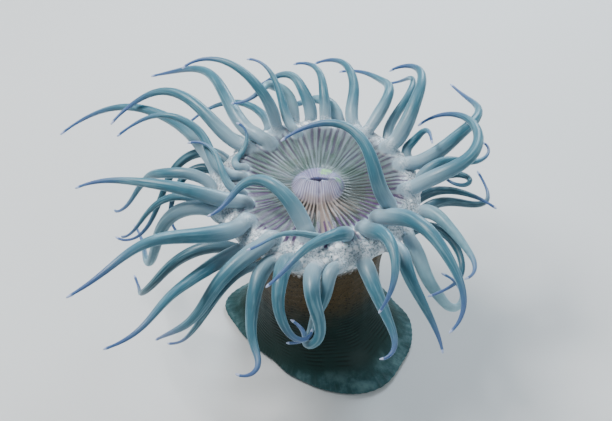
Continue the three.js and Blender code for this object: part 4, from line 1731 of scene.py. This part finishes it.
    def top_colour(self, patch: Patch, body: object, clouds: bpy.types.NodeSocket,
                   grain: bpy.types.NodeSocket, streaks: bpy.types.NodeSocket) -> bpy.types.NodeSocket:
        """Colour of the disc, the folds at its front and the lips.

        Args:
            patch: the tree to lay nodes in.
            body: direction, radius and height of the place.
            clouds: a slow cloudy pattern.
            grain: a fine one.
            streaks: one drawn out from the mouth.

        Returns:
            The colour.
        """
        turn, height, radius = body["Turn"], body["Height"], body["Radius"]
        line, fold, wart = patch.attribute("line"), patch.attribute("fold"), patch.attribute("wart")
        crest = patch.colour(self.ridge, self.disc_green, patch.span(clouds, 0.42, 0.62, 0.0, 0.7))
        crest = patch.colour(crest, self.margin, patch.span(streaks, 0.5, 0.7, 0.0, 0.7))
        base = patch.colour(self.groove, crest, patch.span(line, -0.6, 0.5))
        back = patch.towards(turn, 90.0, -0.2, 0.7)
        base = patch.over(base, crest, back, 0.45)
        base = patch.colour(base, self.groove, patch.span(streaks, 0.5, 0.32, 0.0, 0.6))
        base = patch.colour(base, self.ridge, patch.span(grain, 0.4, 0.8, 0.0, 0.25))
        right = patch.towards(turn, -35.0, 0.1, 0.95)
        base = patch.over(base, self.shade, right, patch.span(radius, 20.0, 12.0), 0.65)
        outer, crests = patch.span(radius, 16.5, 20.5), patch.span(line, -0.5, 0.4)
        base = patch.over(base, self.margin, outer, crests, 0.8)
        near = patch.towards(turn, -90.0, -0.1, 0.6)
        base = patch.over(base, self.shade, near, patch.span(radius, 20.0, 17.0, 0.0, 0.45))
        cover, specked = patch.span(radius, 18.8, 21.0, 0.0, 0.9), patch.span(radius, 19.5, 21.5, 0.0, 0.8)
        base = self.white_hem(patch, base, body["Place"], (grain, 0.38), cover, (specked, 1.1))
        front = patch.towards(turn, -88.0, 0.55, 0.9)
        folds = patch.colour(self.peach_dark, self.peach, patch.span(fold, -0.5, 0.5))
        base = patch.over(base, folds, patch.span(radius, 13.5, 8.0), front, 0.9)
        spine = patch.towards(turn, -82.0, 0.992, 0.9985)
        base = patch.over(base, self.peach, spine, patch.span(radius, 18.5, 15.5), 0.75)
        lips = patch.colour(self.lip_shade, self.lip, patch.span(fold, -0.8, 0.3, 0.45, 1.0))
        lips = patch.over(lips, self.lip_shade, back, 0.45)
        right = patch.towards(turn, 45.0, 0.3, 0.9)
        lips = patch.over(lips, self.glint, patch.span(clouds, 0.5, 0.62), right, 0.8)
        lips = patch.over(lips, self.peach, front, patch.span(radius, 3.2, 5.2), 0.75)
        base = patch.colour(base, lips, patch.span(radius, 6.6, 5.4))
        deep, inner = patch.span(height, 50.5, 49.3), patch.span(radius, 3.9, 3.1)
        base = patch.over(base, self.throat, deep, inner)
        beads, rim = patch.span(wart, 0.2, 0.6), patch.span(radius, 19.0, 20.5)
        return patch.over(base, self.collar_wart, beads, rim, 0.9)


@dataclass(frozen=True)
class ColumnFlesh(LivingFlesh):
    """The firmer, duller skin of the foot and the column."""

    roughness: float = 0.5
    inner_glow: float = 0.2
    sheen: float = 0.05
    coat: float = 0.04
    gloss: float = 0.3


@dataclass(frozen=True)
class StudioFloor:
    """The plain pale floor."""

    pale: Colour = Colour(214, 215, 214)
    size: float = 8.0
    mottle: float = 5.0
    roughness: float = 0.75

    def build(self) -> bpy.types.Object:
        """Builds the floor."""
        mesh = bpy.data.meshes.new("floor")
        half = self.size / 2
        corners = [(-half, -half, 0.0), (half, -half, 0.0), (half, half, 0.0), (-half, half, 0.0)]
        mesh.from_pydata(corners, [], [(0, 1, 2, 3)])
        floor = bpy.data.objects.new("floor", mesh)
        bpy.context.scene.collection.objects.link(floor)
        finish = bpy.data.materials.new("pale floor")
        finish.use_nodes = True
        patch = Patch(finish.node_tree)
        shader = finish.node_tree.nodes["Principled BSDF"]
        place = patch.node("ShaderNodeTexCoord").outputs["Object"]
        cloud = patch.noise(place, 9.0, 2.0)
        pale, mottle = self.pale, self.mottle
        deeper = Colour(pale.red - mottle, pale.green - mottle, pale.blue - mottle)
        patch.feed(patch.colour(deeper, self.pale, cloud), shader.inputs["Base Color"])
        shader.inputs["Roughness"].default_value = self.roughness
        mesh.materials.append(finish)
        return floor


# ---- studio -----------------------------------------------------------------------------


@dataclass(frozen=True)
class SoftLamp:
    """One large soft lamp, placed in millimetres and aimed at the crown."""

    name: str
    place: tuple
    size: float
    watts: float
    tint: Colour = Colour(255, 255, 255)
    aim: tuple = (0.0, 0.0, 42.0)

    def build(self) -> bpy.types.Object:
        """Builds the lamp."""
        light = bpy.data.lights.new(self.name, "AREA")
        light.shape = "DISK"
        light.size = self.size * MM
        light.energy = self.watts
        light.color = self.tint.linear()[:3]
        lamp = bpy.data.objects.new(self.name, light)
        lamp.location = Vector(self.place) * MM
        ahead = Vector(self.aim) - Vector(self.place)
        lamp.rotation_euler = ahead.to_track_quat("-Z", "Y").to_euler()
        bpy.context.scene.collection.objects.link(lamp)
        return lamp


@dataclass
class Studio:
    """Floor, lamps, pale surroundings and the camera."""

    lens: float = 85.0
    sensor: float = 36.0
    elevation: float = 45.0
    distance: float = 340.0
    look_at: tuple = (-2.8, -4.7, 45.3)
    sky: Colour = Colour(214, 222, 228)
    sky_strength: float = 0.42

    def build(self) -> None:
        """Builds everything that isn't part of the animal."""
        StudioFloor().build()
        for lamp in (
            SoftLamp("key", (-190.0, 60.0, 420.0), 150.0, 2.6),
            SoftLamp("fill", (330.0, -240.0, 260.0), 320.0, 0.7, Colour(240, 248, 255)),
            SoftLamp("rim", (120.0, 360.0, 240.0), 200.0, 2.0, Colour(226, 242, 255)),
        ):
            lamp.build()
        self.build_sky()
        self.build_camera()

    def build_sky(self) -> None:
        """Lights the scene softly from all round."""
        world = bpy.data.worlds.new("pale surroundings")
        world.use_nodes = True
        ground = world.node_tree.nodes["Background"]
        ground.inputs["Color"].default_value = self.sky.linear()
        ground.inputs["Strength"].default_value = self.sky_strength
        bpy.context.scene.world = world

    def build_camera(self) -> None:
        """Sets the camera that looks down on the animal from the front."""
        eye = bpy.data.cameras.new("camera")
        eye.lens = self.lens
        eye.sensor_width = self.sensor
        eye.clip_start = 0.01
        camera = bpy.data.objects.new("camera", eye)
        tilt = math.radians(self.elevation)
        back = self.distance * math.cos(tilt)
        up = self.distance * math.sin(tilt)
        x, y, z = self.look_at
        camera.location = Vector((x, y - back, z + up)) * MM
        camera.rotation_euler = (math.pi / 2 - tilt, 0.0, 0.0)
        bpy.context.scene.collection.objects.link(camera)
        bpy.context.scene.camera = camera


def main() -> None:
    """Builds the studio and the animal, and ties the animal to the frame."""
    logging.basicConfig(level=logging.INFO, format="%(name)s: %(message)s")
    Studio().build()
    log.info("studio: floor, lamps and camera")
    skin = Skin().build()
    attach(skin, ROOT_BODY)
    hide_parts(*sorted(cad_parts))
    log.info("skin: %d points", len(skin.data.vertices))


if __name__ == "__main__":
    main()
